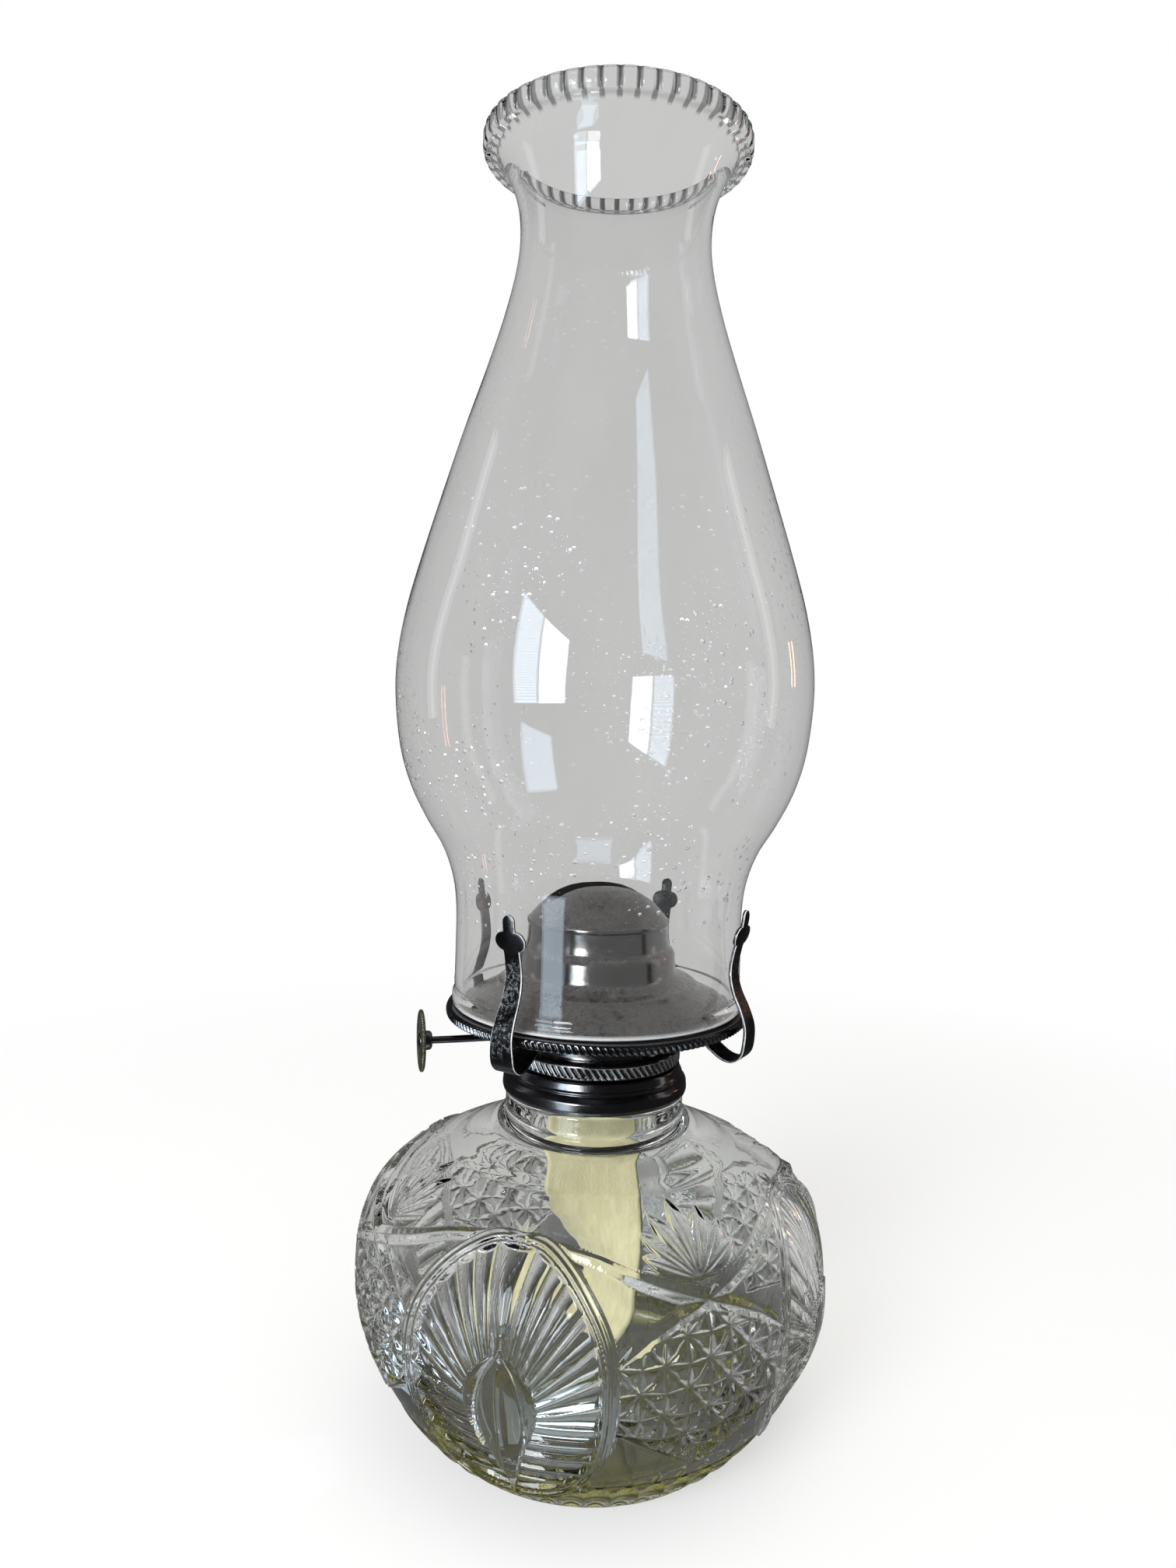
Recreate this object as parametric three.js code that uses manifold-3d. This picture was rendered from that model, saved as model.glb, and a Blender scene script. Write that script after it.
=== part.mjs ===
// Table oil lamp: pressed-glass font, flat-wick burner with four sprung prongs, bulged glass chimney.
// Millimetres, +Z up, origin at the middle of the font's underside, thumb wheel towards -X.
import * as THREE from 'three';
import { mergeVertices } from 'three/addons/utils/BufferGeometryUtils.js';
import Module from 'manifold-3d';

const wasm = await Module();
wasm.setup();

// ---------- driving dimensions ----------
const AROUND = 28;              // sides of the large round pieces
const CLEAR = 0.3;              // gap left where two pieces touch

const FONT_R = 61.6;            // widest radius of the oil font
const FONT_WALL = 4.2;
const FONT_FLOOR = 5;           // glass under the oil
const NECK_R = 21.6;            // glass neck hidden in the collar
const NECK_BORE_R = 17.4;
const NECK_TOP = 93.2;
const OIL_LEVEL = 10.5;

const COLLAR_BOTTOM = 87.2;
const COLLAR_TOP = 94.9;
const COLLAR_BORE_R = 16.3;     // crest radius of the 1 1/4 in collar thread

const SCREW_R = 15.9;           // screwed sleeve of the burner
const SCREW_BOTTOM = 88.6;
const BASE_FLOOR = 95.3;        // underside of the burner's bottom plate
const BASE_PLATE = 1.1;
const GRIP_R = 22.4;            // knurled grip ring
const GRIP_TOP = 99.5;
const BURNER_NECK_R = 19.7;
const BURNER_NECK_TOP = 106.6;
const SHEET = 0.7;              // thickness of the pressed sheet metal

const PLATE_BOTTOM = 106.9;     // air plate of the gallery
const SEAT_TOP = 109.7;         // ring that the chimney stands on
const SEAT_INNER_R = 33;
const RIM_R = 39.5;
const RIM_BOTTOM = 107.2;
const RIM_NOTCHES = 48;
const PLATE_HOLE_R = 17.6;
const AIR_HOLE_R = 1.3;

const CHIMNEY_BASE = SEAT_TOP + CLEAR;
const CHIMNEY_WALL = 2;
const CHIMNEY_H = 220;

const DOME_R = 18.2;            // radius of the dome's cap
const CAP_BASE = 132.8;
const CAP_H = 9.2;
const FLAME_SLOT = { length: 30, width: 8 };

// The flat wick before it is hung: it twists below straightTo and curls below curlFrom (radians, mm).
const WICK = { width: 25.2, thick: 2.8, top: 136.4, bottom: 18, straightTo: 66, curlFrom: 32.4 };
const WICK_TWIST = 1.309;
const WICK_CURL = 1.35;
const WICK_SHIFT = 5.4;         // the twisted part hangs this far towards +X
const TUBE = { width: 27.8, thick: 5.2, wall: 0.7, bottom: 88, top: 136 };

const SHAFT_R = 0.9;
const SHAFT_Y = -6.2;
const SHAFT_Z = 103.3;
const SHAFT_ENDS = [-47.6, 14.6];
const SPUR_R = 4.4;
const SPUR_TEETH = 12;
const SPUR_THICK = 0.8;
const SPUR_XS = [-9, -3, 3, 9];
const KNOB_R = 7.65;
const KNOB_X = -46.6;
const KNOB_TEETH = 40;

const PRONG_THICK = 0.8;
const PRONG_FOOT_W = 6.6;
const PRONG_WAIST_W = 4.6;
const RIVET_RADIUS = 29.5;      // radius of the circle on which the prongs are riveted
const PRONG_STRAP_Z = 106.15;   // middle of the strap where it lies under the air plate

// ---------- materials ----------
const metal = (color, roughness) => new THREE.MeshStandardMaterial({ color, roughness, metalness: 0.9 });
const glass = () => new THREE.MeshStandardMaterial({
  color: 0xd9dddb, roughness: 0.05, metalness: 0, transparent: true, opacity: 0.35,
});
const gunmetal = () => metal(0x2b2a2c, 0.3);
const dustyMetal = () => metal(0x4d453e, 0.55);
const cotton = () => new THREE.MeshStandardMaterial({ color: 0xd6cd92, roughness: 0.95, metalness: 0 });
const kerosene = () => new THREE.MeshStandardMaterial({ color: 0xb9b42c, roughness: 0.05, metalness: 0 });

// ---------- geometry helpers ----------
const v2 = ([x, y]) => new THREE.Vector2(x, y);

function toSolid(geometry) {
  const bare = geometry.clone();
  bare.deleteAttribute('normal');
  bare.deleteAttribute('uv');
  const merged = mergeVertices(bare, 1e-4);
  return new wasm.Manifold(new wasm.Mesh({
    numProp: 3,
    vertProperties: new Float32Array(merged.attributes.position.array),
    triVerts: new Uint32Array(merged.index.array),
  }));
}

function toGeometry(solid) {
  const mesh = solid.getMesh();
  const geometry = new THREE.BufferGeometry();
  geometry.setAttribute('position', new THREE.BufferAttribute(new Float32Array(mesh.vertProperties), 3));
  geometry.setIndex(new THREE.BufferAttribute(new Uint32Array(mesh.triVerts), 1));
  geometry.computeVertexNormals();
  return geometry;
}

// Round piece about +Z from [radius, height] points: outside upwards, then the inside downwards.
function revolve(points, sides = AROUND) {
  return new THREE.LatheGeometry(points.map(v2), sides).rotateX(Math.PI / 2);
}

const closed = (points) => [...points, points[0]];

// Points of a smooth curve through [radius, height] points.
function smooth(points, count) {
  return new THREE.SplineCurve(points.map(v2)).getSpacedPoints(count).map((p) => [p.x, p.y]);
}

// The same line moved sideways: a positive distance goes to the left of its direction.
function offset(points, distance) {
  return points.map((point, i) => {
    const before = points[Math.max(i - 1, 0)];
    const after = points[Math.min(i + 1, points.length - 1)];
    const along = v2(after).sub(v2(before)).normalize();
    return [point[0] - along.y * distance, point[1] + along.x * distance];
  });
}

// Radius of a rising line of [radius, height] points at a height.
function radiusAt(points, height) {
  const i = points.findIndex(([, z]) => z > height);
  const [[r0, z0], [r1, z1]] = [points[i - 1], points[i]];
  return r0 + ((r1 - r0) * (height - z0)) / (z1 - z0);
}

// Flat plate with the given outline, from height z0 to z1.
function plate(shape, z0, z1, curveSegments = 6) {
  return new THREE.ExtrudeGeometry(shape, { depth: z1 - z0, bevelEnabled: false, curveSegments })
    .translate(0, 0, z0);
}

function roundedRect(width, height, radius) {
  const [x, y] = [width / 2 - radius, height / 2 - radius];
  const shape = new THREE.Shape();
  shape.absarc(x, y, radius, 0, Math.PI / 2);
  shape.absarc(-x, y, radius, Math.PI / 2, Math.PI);
  shape.absarc(-x, -y, radius, Math.PI, 1.5 * Math.PI);
  shape.absarc(x, -y, radius, 1.5 * Math.PI, 2 * Math.PI);
  return shape;
}

function toothedDisc(outer, depth, teeth) {
  const shape = new THREE.Shape();
  for (let i = 0; i < 2 * teeth; i += 1) {
    const angle = (Math.PI * i) / teeth;
    const radius = i % 2 ? outer - depth : outer;
    const corner = [radius * Math.cos(angle), radius * Math.sin(angle)];
    if (i === 0) shape.moveTo(...corner); else shape.lineTo(...corner);
  }
  return shape;
}

function box(x, y, z, centre) {
  return new THREE.BoxGeometry(x, y, z).translate(...centre);
}

const rod = (radius, z0, z1, sides = 12) => new THREE.CylinderGeometry(radius, radius, z1 - z0, sides)
  .rotateX(Math.PI / 2).translate(0, 0, (z0 + z1) / 2);

// Turns a piece built about +Z so that it lies about the wick raiser's axis, z becoming x.
const ontoShaft = (geometry) => geometry.rotateY(Math.PI / 2).translate(0, SHAFT_Y, SHAFT_Z);

const lamp = new THREE.Group();

function add(name, geometry, material, parent = lamp) {
  const mesh = new THREE.Mesh(geometry, material);
  mesh.name = name;
  parent.add(mesh);
}

// ---------- glass font, oil and collar ----------
const fontSide = smooth([
  [40.5, 0], [45.6, 4.4], [49.6, 9.3], [53.2, 14.7], [56.4, 20.6], [59.1, 27], [61, 34], [FONT_R, 40.5],
  [61.3, 47.5], [60, 54], [57.2, 60.2], [52.8, 65.2], [47.1, 69], [41, 72], [35, 74.4], [29.6, 77], [25.6, 80],
], 18);
const neckStep = [[23.4, 82], [23.4, 86.8], [NECK_R, 86.8], [NECK_R, NECK_TOP]];
const fontInside = offset(fontSide, FONT_WALL).filter(([, z]) => z > FONT_FLOOR + 1);
add('font_glass', revolve([
  [0, 1.2], [36, 1.2], [37.5, 0],
  ...fontSide, ...neckStep,
  [NECK_BORE_R, NECK_TOP], [NECK_BORE_R, 78],
  ...[...fontInside].reverse().filter(([radius]) => radius > NECK_BORE_R + 1.5),
  [38, FONT_FLOOR], [0, FONT_FLOOR],
]), glass());

const poolR = radiusAt(fontInside, OIL_LEVEL) - 2 * CLEAR;
add('lamp_oil', revolve([
  [0, FONT_FLOOR + CLEAR], [37.2, FONT_FLOOR + CLEAR],
  ...fontInside.filter(([, z]) => z < OIL_LEVEL - 1).map(([radius, z]) => [radius - 2 * CLEAR, z]),
  [poolR, OIL_LEVEL], [0, OIL_LEVEL],
]), kerosene());

add('font_collar', revolve(closed([
  [NECK_R + 0.4, COLLAR_BOTTOM], [24, COLLAR_BOTTOM], [24.3, 88.4], [24.2, 90.4], [23.4, 91.5],
  [22.7, 91.8], [23.2, 92.3], [22.7, 92.9], [22.3, COLLAR_TOP - 0.4], [21.9, COLLAR_TOP],
  [COLLAR_BORE_R, COLLAR_TOP], [COLLAR_BORE_R, 88.6], [COLLAR_BORE_R + 0.7, 88.6],
  [COLLAR_BORE_R + 0.7, NECK_TOP + 0.6], [NECK_R + 0.4, NECK_TOP + 0.6],
])), gunmetal());

// ---------- burner body ----------
const tubeOpening = plate(roundedRect(TUBE.width + 1.2, TUBE.thick + 1.2, 1.8), 94, 98);
add('burner_base', toGeometry(toSolid(revolve([
  [0, BASE_FLOOR], [SCREW_R - 0.8, BASE_FLOOR], [SCREW_R - 0.8, SCREW_BOTTOM], [SCREW_R, SCREW_BOTTOM],
  [SCREW_R, BASE_FLOOR], [GRIP_R, BASE_FLOOR], [GRIP_R, GRIP_TOP - 0.5], [GRIP_R - 0.6, GRIP_TOP],
  [BURNER_NECK_R + CLEAR, GRIP_TOP], [BURNER_NECK_R + CLEAR, BASE_FLOOR + BASE_PLATE],
  [0, BASE_FLOOR + BASE_PLATE],
])).subtract(toSolid(tubeOpening))), gunmetal());

const neckBottom = BASE_FLOOR + BASE_PLATE + CLEAR;
const bearingHole = ontoShaft(rod(2.4, -BURNER_NECK_R - 5, -BURNER_NECK_R + 8));
add('burner_neck', toGeometry(toSolid(revolve(closed([
  [17.6, neckBottom], [BURNER_NECK_R, neckBottom], [BURNER_NECK_R, BURNER_NECK_TOP],
  [BURNER_NECK_R - SHEET, BURNER_NECK_TOP], [BURNER_NECK_R - SHEET, neckBottom + SHEET],
  [17.6, neckBottom + SHEET],
]))).subtract(toSolid(bearingHole))), gunmetal());

const [bearingOut, bearingIn] = [-BURNER_NECK_R - 0.7, -BURNER_NECK_R + 3];
add('shaft_bearing', ontoShaft(revolve(closed([
  [SHAFT_R + CLEAR, bearingOut], [2, bearingOut], [2, bearingIn], [SHAFT_R + CLEAR, bearingIn],
]), 16)), gunmetal());

// Air plate and seat for the chimney, with a notched rim and rings of air holes.
function gallery() {
  let solid = toSolid(revolve(closed([
    [PLATE_HOLE_R, PLATE_BOTTOM], [31.6, PLATE_BOTTOM], [SEAT_INNER_R + 0.2, SEAT_TOP - SHEET],
    [RIM_R - 1.2, SEAT_TOP - SHEET], [RIM_R - 1, RIM_BOTTOM + 0.6], [RIM_R - 0.3, RIM_BOTTOM + 0.6],
    [RIM_R, SEAT_TOP - 1], [RIM_R - 0.4, SEAT_TOP], [SEAT_INNER_R - 0.4, SEAT_TOP],
    [31.3, PLATE_BOTTOM + SHEET], [PLATE_HOLE_R, PLATE_BOTTOM + SHEET],
  ])));
  const notched = toothedDisc(RIM_R, 0.5, RIM_NOTCHES);
  notched.holes.push(new THREE.Path().absarc(0, 0, RIM_R - 1.1, 0, 2 * Math.PI, true));
  solid = solid.add(toSolid(plate(notched, RIM_BOTTOM, RIM_BOTTOM + 0.9, AROUND / 2)));
  for (const [radius, count] of [[21.6, 12], [26, 16]]) {
    for (let i = 0; i < count; i += 1) {
      const angle = (2 * Math.PI * (i + 0.5)) / count;
      const hole = rod(AIR_HOLE_R, PLATE_BOTTOM - 1, PLATE_BOTTOM + 2, 8)
        .translate(radius * Math.cos(angle), radius * Math.sin(angle), 0);
      solid = solid.subtract(toSolid(hole));
    }
  }
  for (let i = 0; i < 4; i += 1) {
    const angle = Math.PI * (0.25 + 0.5 * i);
    const hole = rod(1.6, PLATE_BOTTOM - 1, PLATE_BOTTOM + 2, 10)
      .translate(RIVET_RADIUS * Math.cos(angle), RIVET_RADIUS * Math.sin(angle), 0);
    solid = solid.subtract(toSolid(hole));
  }
  return toGeometry(solid);
}
add('gallery', gallery(), gunmetal());

// Stepped dome that spreads the flame; its cap follows 1 - r^2.8 and is cut by the flame slot.
function deflectorDome() {
  const steps = [
    [35.1, SEAT_TOP + CLEAR], [35.1, 110.8], [26.5, 115.4], [26.1, 116.2], [23.6, 117], [21.2, 118.4],
    [20.7, 119.4], [20.3, 124], [19.7, 124.9], [18.9, 125.8], [18.5, 131.4], [18.8, 132.1],
  ];
  const cap = [1, 0.9, 0.75, 0.55, 0.3].map((r) => [DOME_R * r, CAP_BASE + CAP_H * (1 - r ** 2.8)]);
  const outside = [...steps, ...cap];
  const inside = [[33.4, SEAT_TOP + CLEAR], [25.7, 114.7], [20.4, 117.9], [18.9, 124.4], [17.8, 131.6],
    ...offset(cap, SHEET).slice(1)];
  const top = CAP_BASE + CAP_H;
  const shell = toSolid(revolve([[0, top - SHEET], ...inside.reverse(), ...outside, [0, top]]));
  const slot = box(FLAME_SLOT.length, FLAME_SLOT.width, 20, [0, 0, CAP_BASE + 12.5]);
  return toGeometry(shell.subtract(toSolid(slot)));
}
add('deflector_dome', deflectorDome(), dustyMetal());

// ---------- wick tube, housing and wick ----------
function wickTube() {
  const { width, thick, wall, bottom, top } = TUBE;
  const outer = roundedRect(width, thick, 1.6);
  outer.holes.push(roundedRect(width - 2 * wall, thick - 2 * wall, 1));
  let solid = toSolid(plate(outer, bottom, top, 3));
  for (const x of SPUR_XS) {
    const window = box(SPUR_THICK + 0.9, 2, 10.6, [x, -thick / 2, SHAFT_Z]);
    solid = solid.subtract(toSolid(window));
  }
  return toGeometry(solid);
}
add('wick_tube', wickTube(), dustyMetal());

// Cover over the spur wheels: open below and on the side of the wick tube.
function spurHousing() {
  const [halfX, front, back, bottom, top] = [12.3, -11.9, -TUBE.thick / 2 - CLEAR, 97.4, 109.2];
  const depth = back - front;
  const height = top - bottom;
  const outer = box(2 * halfX, depth, height, [0, (front + back) / 2, (bottom + top) / 2]);
  const inner = box(2 * halfX - 1.2, depth + 1, height + 1, [0, (front + back) / 2 + 1.1, (bottom + top) / 2 - 1.1]);
  const bore = ontoShaft(rod(SHAFT_R + CLEAR + 0.1, -halfX - 2, halfX + 2));
  return toGeometry(toSolid(outer).subtract(toSolid(inner)).subtract(toSolid(bore)));
}
add('spur_housing', spurHousing(), gunmetal());

// Flat cotton wick: straight through the tube, then twisted edge-on, its tail curled towards -X.
function flatWick() {
  const strip = new THREE.BoxGeometry(WICK.width, WICK.thick, WICK.top - WICK.bottom, 2, 1, 36);
  strip.translate(0, 0, (WICK.top + WICK.bottom) / 2);
  const position = strip.attributes.position;
  for (let i = 0; i < position.count; i += 1) {
    const [x, y, z] = [position.getX(i), position.getY(i), position.getZ(i)];
    const down = Math.min(1, Math.max(0, (WICK.straightTo - z) / (WICK.straightTo - WICK.curlFrom)));
    const share = down * down * (3 - 2 * down);
    const [cos, sin] = [Math.cos(WICK_TWIST * share), Math.sin(WICK_TWIST * share)];
    const curled = Math.max(0, WICK.curlFrom - z) / (WICK.curlFrom - WICK.bottom);
    const bend = WICK_CURL * curled;
    const curlR = (WICK.curlFrom - WICK.bottom) / WICK_CURL;
    const out = y * Math.cos(bend) - curlR * (1 - Math.cos(bend));
    const fall = (y + curlR) * Math.sin(bend);
    position.setX(i, WICK_SHIFT * share ** 1.5 + x * cos + out * sin);
    position.setY(i, out * cos - x * sin);
    position.setZ(i, Math.max(z, WICK.curlFrom) - fall);
  }
  return strip;
}
add('flat_wick', flatWick(), cotton());

// ---------- wick raiser ----------
add('wick_shaft', ontoShaft(rod(SHAFT_R, ...SHAFT_ENDS, 12)), gunmetal());

SPUR_XS.forEach((x, i) => {
  const disc = toothedDisc(SPUR_R, 1.2, SPUR_TEETH);
  disc.holes.push(new THREE.Path().absarc(0, 0, SHAFT_R + CLEAR, 0, 2 * Math.PI, true));
  const wheel = plate(disc, x - SPUR_THICK / 2, x + SPUR_THICK / 2, 5);
  add(`spur_wheel_${i + 1}`, ontoShaft(wheel), gunmetal());
});

function thumbWheel() {
  const disc = toothedDisc(KNOB_R, 0.4, KNOB_TEETH);
  disc.holes.push(new THREE.Path().absarc(0, 0, 1.9, 0, 2 * Math.PI, true));
  return ontoShaft(plate(disc, KNOB_X - 0.5, KNOB_X + 0.5, 6));
}
add('thumb_wheel', thumbWheel(), metal(0x3d3a2c, 0.45));

add('thumb_wheel_hub', ontoShaft(revolve(closed([
  [SHAFT_R + CLEAR, KNOB_X - 0.8], [1.6, KNOB_X - 0.8], [1.6, KNOB_X + 0.8],
  [2.3, KNOB_X + 0.8], [2.3, KNOB_X + 2.6], [SHAFT_R + CLEAR, KNOB_X + 2.6],
]), 16)), gunmetal());

// ---------- chimney ----------
function chimney() {
  const side = smooth([
    [37.4, 5], [37.3, 16], [37.4, 26], [38.4, 33.5], [41, 41], [45.4, 48.5], [49.5, 57], [52.3, 67],
    [53.6, 80], [53.1, 90.5], [51, 102], [47.4, 115], [42.4, 131], [37.2, 147], [32.2, 161.5], [27.9, 175],
    [25.1, 186.5], [24.2, 195], [24.9, 203], [27.4, 210.6], [30.4, 214.6],
  ], 20);
  const lip = [[33.2, 214.9], [33.9, 216.2], [34.1, 219], [33.4, CHIMNEY_H]];
  const outside = [[37.6, 0], [38, 0.6], [38, 2.8], [37.5, 3.8], ...side, ...lip];
  const inside = [[37.4 - CHIMNEY_WALL, 0], ...offset(side, CHIMNEY_WALL), [31.6, CHIMNEY_H]];
  return revolve(closed([...outside, ...inside.reverse()]));
}
const chimneyGroup = new THREE.Group();
chimneyGroup.position.z = CHIMNEY_BASE;
lamp.add(chimneyGroup);
add('chimney_glass', chimney(), glass(), chimneyGroup);

// ---------- prongs ----------
// Side view of a prong, [radius, height]: flat under the air plate, J bend below the rim, S curve up the glass.
function prongSide() {
  const middle = smooth([
    [27.4, PRONG_STRAP_Z], [31.2, PRONG_STRAP_Z - 0.1], [34.4, 103.8], [37.6, 101.9], [40.4, 101.7],
    [42.6, 103.6], [43.3, 107], [43.2, 110.5], [41.8, 114.4], [40, 118], [38.95, 121.5], [38.85, 125],
    [39.6, 129], [40.7, 133], [41.4, 136.5], [41.5, 138.8],
  ], 30);
  const band = [...offset(middle, PRONG_THICK / 2), ...offset(middle, -PRONG_THICK / 2).reverse()];
  return new THREE.Shape(band.map(v2));
}

// Front view of a prong, [across, height]: tapering strap, round double lobe and a narrow rounded tip.
function prongFront() {
  const [foot, waist] = [PRONG_FOOT_W / 2, PRONG_WAIST_W / 2];
  const lobe = { x: 1.9, z: 132.5, r: 2.3 };
  const tip = { z: 137.15, r: 1.65 };
  const shape = new THREE.Shape();
  shape.moveTo(foot, 98);
  shape.lineTo(foot, 106);
  shape.quadraticCurveTo(waist, 118, waist, 130.2);
  shape.absarc(lobe.x, lobe.z, lobe.r, -1.2, 1.75);
  shape.lineTo(tip.r, tip.z);
  shape.absarc(0, tip.z, tip.r, 0, Math.PI);
  shape.absarc(-lobe.x, lobe.z, lobe.r, Math.PI - 1.75, Math.PI + 1.2);
  shape.lineTo(-waist, 130.2);
  shape.quadraticCurveTo(-waist, 118, -foot, 106);
  shape.lineTo(-foot, 98);
  return shape;
}

// Built along +X (radius) with its width along Y.
function prong() {
  const side = new THREE.ExtrudeGeometry(prongSide(), { depth: 12, bevelEnabled: false })
    .rotateX(Math.PI / 2).translate(0, 6, 0);
  const front = new THREE.ExtrudeGeometry(prongFront(), { depth: 40, bevelEnabled: false, curveSegments: 6 })
    .rotateX(Math.PI / 2).rotateZ(Math.PI / 2).translate(20, 0, 0);
  const hole = rod(1.35, PRONG_STRAP_Z - 3, PRONG_STRAP_Z + 3, 10).translate(RIVET_RADIUS, 0, 0);
  return toGeometry(toSolid(side).intersect(toSolid(front)).subtract(toSolid(hole)));
}

const rivetHead = PRONG_STRAP_Z - PRONG_THICK / 2 - CLEAR;
const rivet = () => revolve([
  [0, rivetHead - 0.7], [1.4, rivetHead - 0.7], [2, rivetHead - 0.2], [2, rivetHead],
  [1, rivetHead], [1, PLATE_BOTTOM + 0.5], [0, PLATE_BOTTOM + 0.5],
], 12).translate(RIVET_RADIUS, 0, 0);

const prongPlaces = { back_right: 45, back_left: 135, front_left: 225, front_right: 315 };
for (const [place, degrees] of Object.entries(prongPlaces)) {
  const turned = new THREE.Group();
  turned.rotation.z = THREE.MathUtils.degToRad(degrees);
  lamp.add(turned);
  add(`prong_${place}`, prong(), gunmetal(), turned);
  add(`prong_rivet_${place}`, rivet(), gunmetal(), turned);
}

export default lamp;
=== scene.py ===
"""Looks of the table oil lamp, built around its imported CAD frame. Shapes are in millimetres until
they become meshes. An azimuth is 0 on the side towards -Y and grows towards +X."""
import math

import bpy
import numpy as np
from mathutils import Matrix, Vector

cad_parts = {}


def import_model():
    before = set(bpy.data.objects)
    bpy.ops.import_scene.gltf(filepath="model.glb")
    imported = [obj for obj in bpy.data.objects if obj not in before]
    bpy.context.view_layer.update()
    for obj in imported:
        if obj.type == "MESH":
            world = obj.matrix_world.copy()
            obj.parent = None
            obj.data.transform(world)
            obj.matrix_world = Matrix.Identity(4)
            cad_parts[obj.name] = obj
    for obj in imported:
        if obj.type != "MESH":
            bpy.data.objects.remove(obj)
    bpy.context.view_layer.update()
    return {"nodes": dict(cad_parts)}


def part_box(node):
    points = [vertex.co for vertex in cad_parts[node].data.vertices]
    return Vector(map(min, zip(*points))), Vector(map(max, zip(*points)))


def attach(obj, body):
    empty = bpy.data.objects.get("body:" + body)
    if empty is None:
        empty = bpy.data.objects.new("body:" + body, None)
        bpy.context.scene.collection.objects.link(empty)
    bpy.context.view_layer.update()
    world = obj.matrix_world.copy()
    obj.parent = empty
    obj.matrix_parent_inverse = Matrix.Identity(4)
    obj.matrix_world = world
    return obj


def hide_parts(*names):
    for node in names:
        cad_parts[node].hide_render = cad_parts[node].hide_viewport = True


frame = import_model()

MM = 0.001
TAU = math.tau

# ---------- sizes taken from the CAD frame ----------


def box_mm(node):
    low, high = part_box(node)
    return np.array(low) / MM, np.array(high) / MM


CHIMNEY_BASE = box_mm("chimney_glass")[0][2]
COLLAR_LOW, COLLAR_HIGH = (corner[2] for corner in box_mm("font_collar"))
WICK_HIGH = box_mm("flat_wick")[1][2]
SHAFT_LOW, SHAFT_HIGH = box_mm("wick_shaft")
SHAFT_Y, SHAFT_Z = ((SHAFT_LOW + SHAFT_HIGH) / 2)[1:]
KNOB_X = sum(box_mm("thumb_wheel"))[0] / 2
OIL_TOP = box_mm("lamp_oil")[1][2]
# Lays what is built about +Z about the wick raiser's axis, its height becoming x.
ONTO_SHAFT = Matrix.Translation((0, SHAFT_Y * MM, SHAFT_Z * MM)) @ Matrix.Rotation(TAU / 4, 4, "Y")

# ---------- outline helpers ----------


def distances(line):
    """How far along a line each of its points is."""
    return np.concatenate([[0], np.cumsum(np.hypot(*np.diff(line, axis=0).T))])


def spaced(line, count):
    """The same line as evenly spaced points."""
    line = np.asarray(line, float)
    along = distances(line)
    at = np.linspace(0, along[-1], count)
    return np.column_stack([np.interp(at, along, line[:, i]) for i in (0, 1)])


def smooth(points, count):
    """Evenly spaced points of a curve that passes through the given ones."""
    p = np.asarray(points, float)
    p = np.vstack([2 * p[0] - p[1], p, 2 * p[-1] - p[-2]])
    t = np.linspace(0, 1, 16, endpoint=False)[:, None]
    spans = [
        0.5 * (2 * b + (c - a) * t + (2 * a - 5 * b + 4 * c - d) * t**2
               + (3 * b - a - 3 * c + d) * t**3)
        for a, b, c, d in zip(p, p[1:], p[2:], p[3:])
    ]
    return spaced(np.vstack([*spans, p[-2][None]]), count)


def sideways(line):
    """Unit vectors to the right of a line's direction."""
    along = np.gradient(np.asarray(line, float), axis=0)
    along /= np.maximum(np.linalg.norm(along, axis=1), 1e-9)[:, None]
    return np.column_stack([along[:, 1], -along[:, 0]])


def offset(line, distance):
    """The same line moved to the left of its direction."""
    return np.asarray(line, float) - sideways(line) * distance


def rounded(points, radius, closed=True, steps=4):
    """The same outline with round corners."""
    p = np.asarray(points, float)
    out = []
    for i in range(len(p)):
        if not closed and i in (0, len(p) - 1):
            out.append(p[i][None])
            continue
        before, after = p[i - 1] - p[i], p[(i + 1) % len(p)] - p[i]
        lengths = np.linalg.norm(before), np.linalg.norm(after)
        cut = min(radius, 0.45 * lengths[0], 0.45 * lengths[1])
        start, end = p[i] + before / lengths[0] * cut, p[i] + after / lengths[1] * cut
        t = np.linspace(0, 1, steps + 1)[:, None]
        out.append((1 - t) ** 2 * start + 2 * t * (1 - t) * p[i] + t**2 * end)
    return np.vstack(out)


def ease(x, low=0.0, high=1.0):
    """0 below low, 1 above high, smooth between them."""
    t = np.clip((x - low) / (high - low), 0, 1)
    return t * t * (3 - 2 * t)


# ---------- mesh helpers ----------


def put_in_scene(name, data):
    obj = bpy.data.objects.new(name, data)
    bpy.context.scene.collection.objects.link(obj)
    return obj


def mesh_object(name, points, faces, material, sharp=None):
    """A mesh object from points in millimetres, with its faces turned outwards."""
    mesh = bpy.data.meshes.new(name)
    mesh.from_pydata((np.asarray(points) * MM).tolist(), [], faces)
    mesh.validate()
    obj = put_in_scene(name, mesh)
    face_outwards(mesh)
    mesh.polygons.foreach_set("use_smooth", [True] * len(mesh.polygons))
    if sharp is not None:
        mesh.set_sharp_from_angle(angle=math.radians(sharp))
    mesh.materials.append(material)
    return obj


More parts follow.
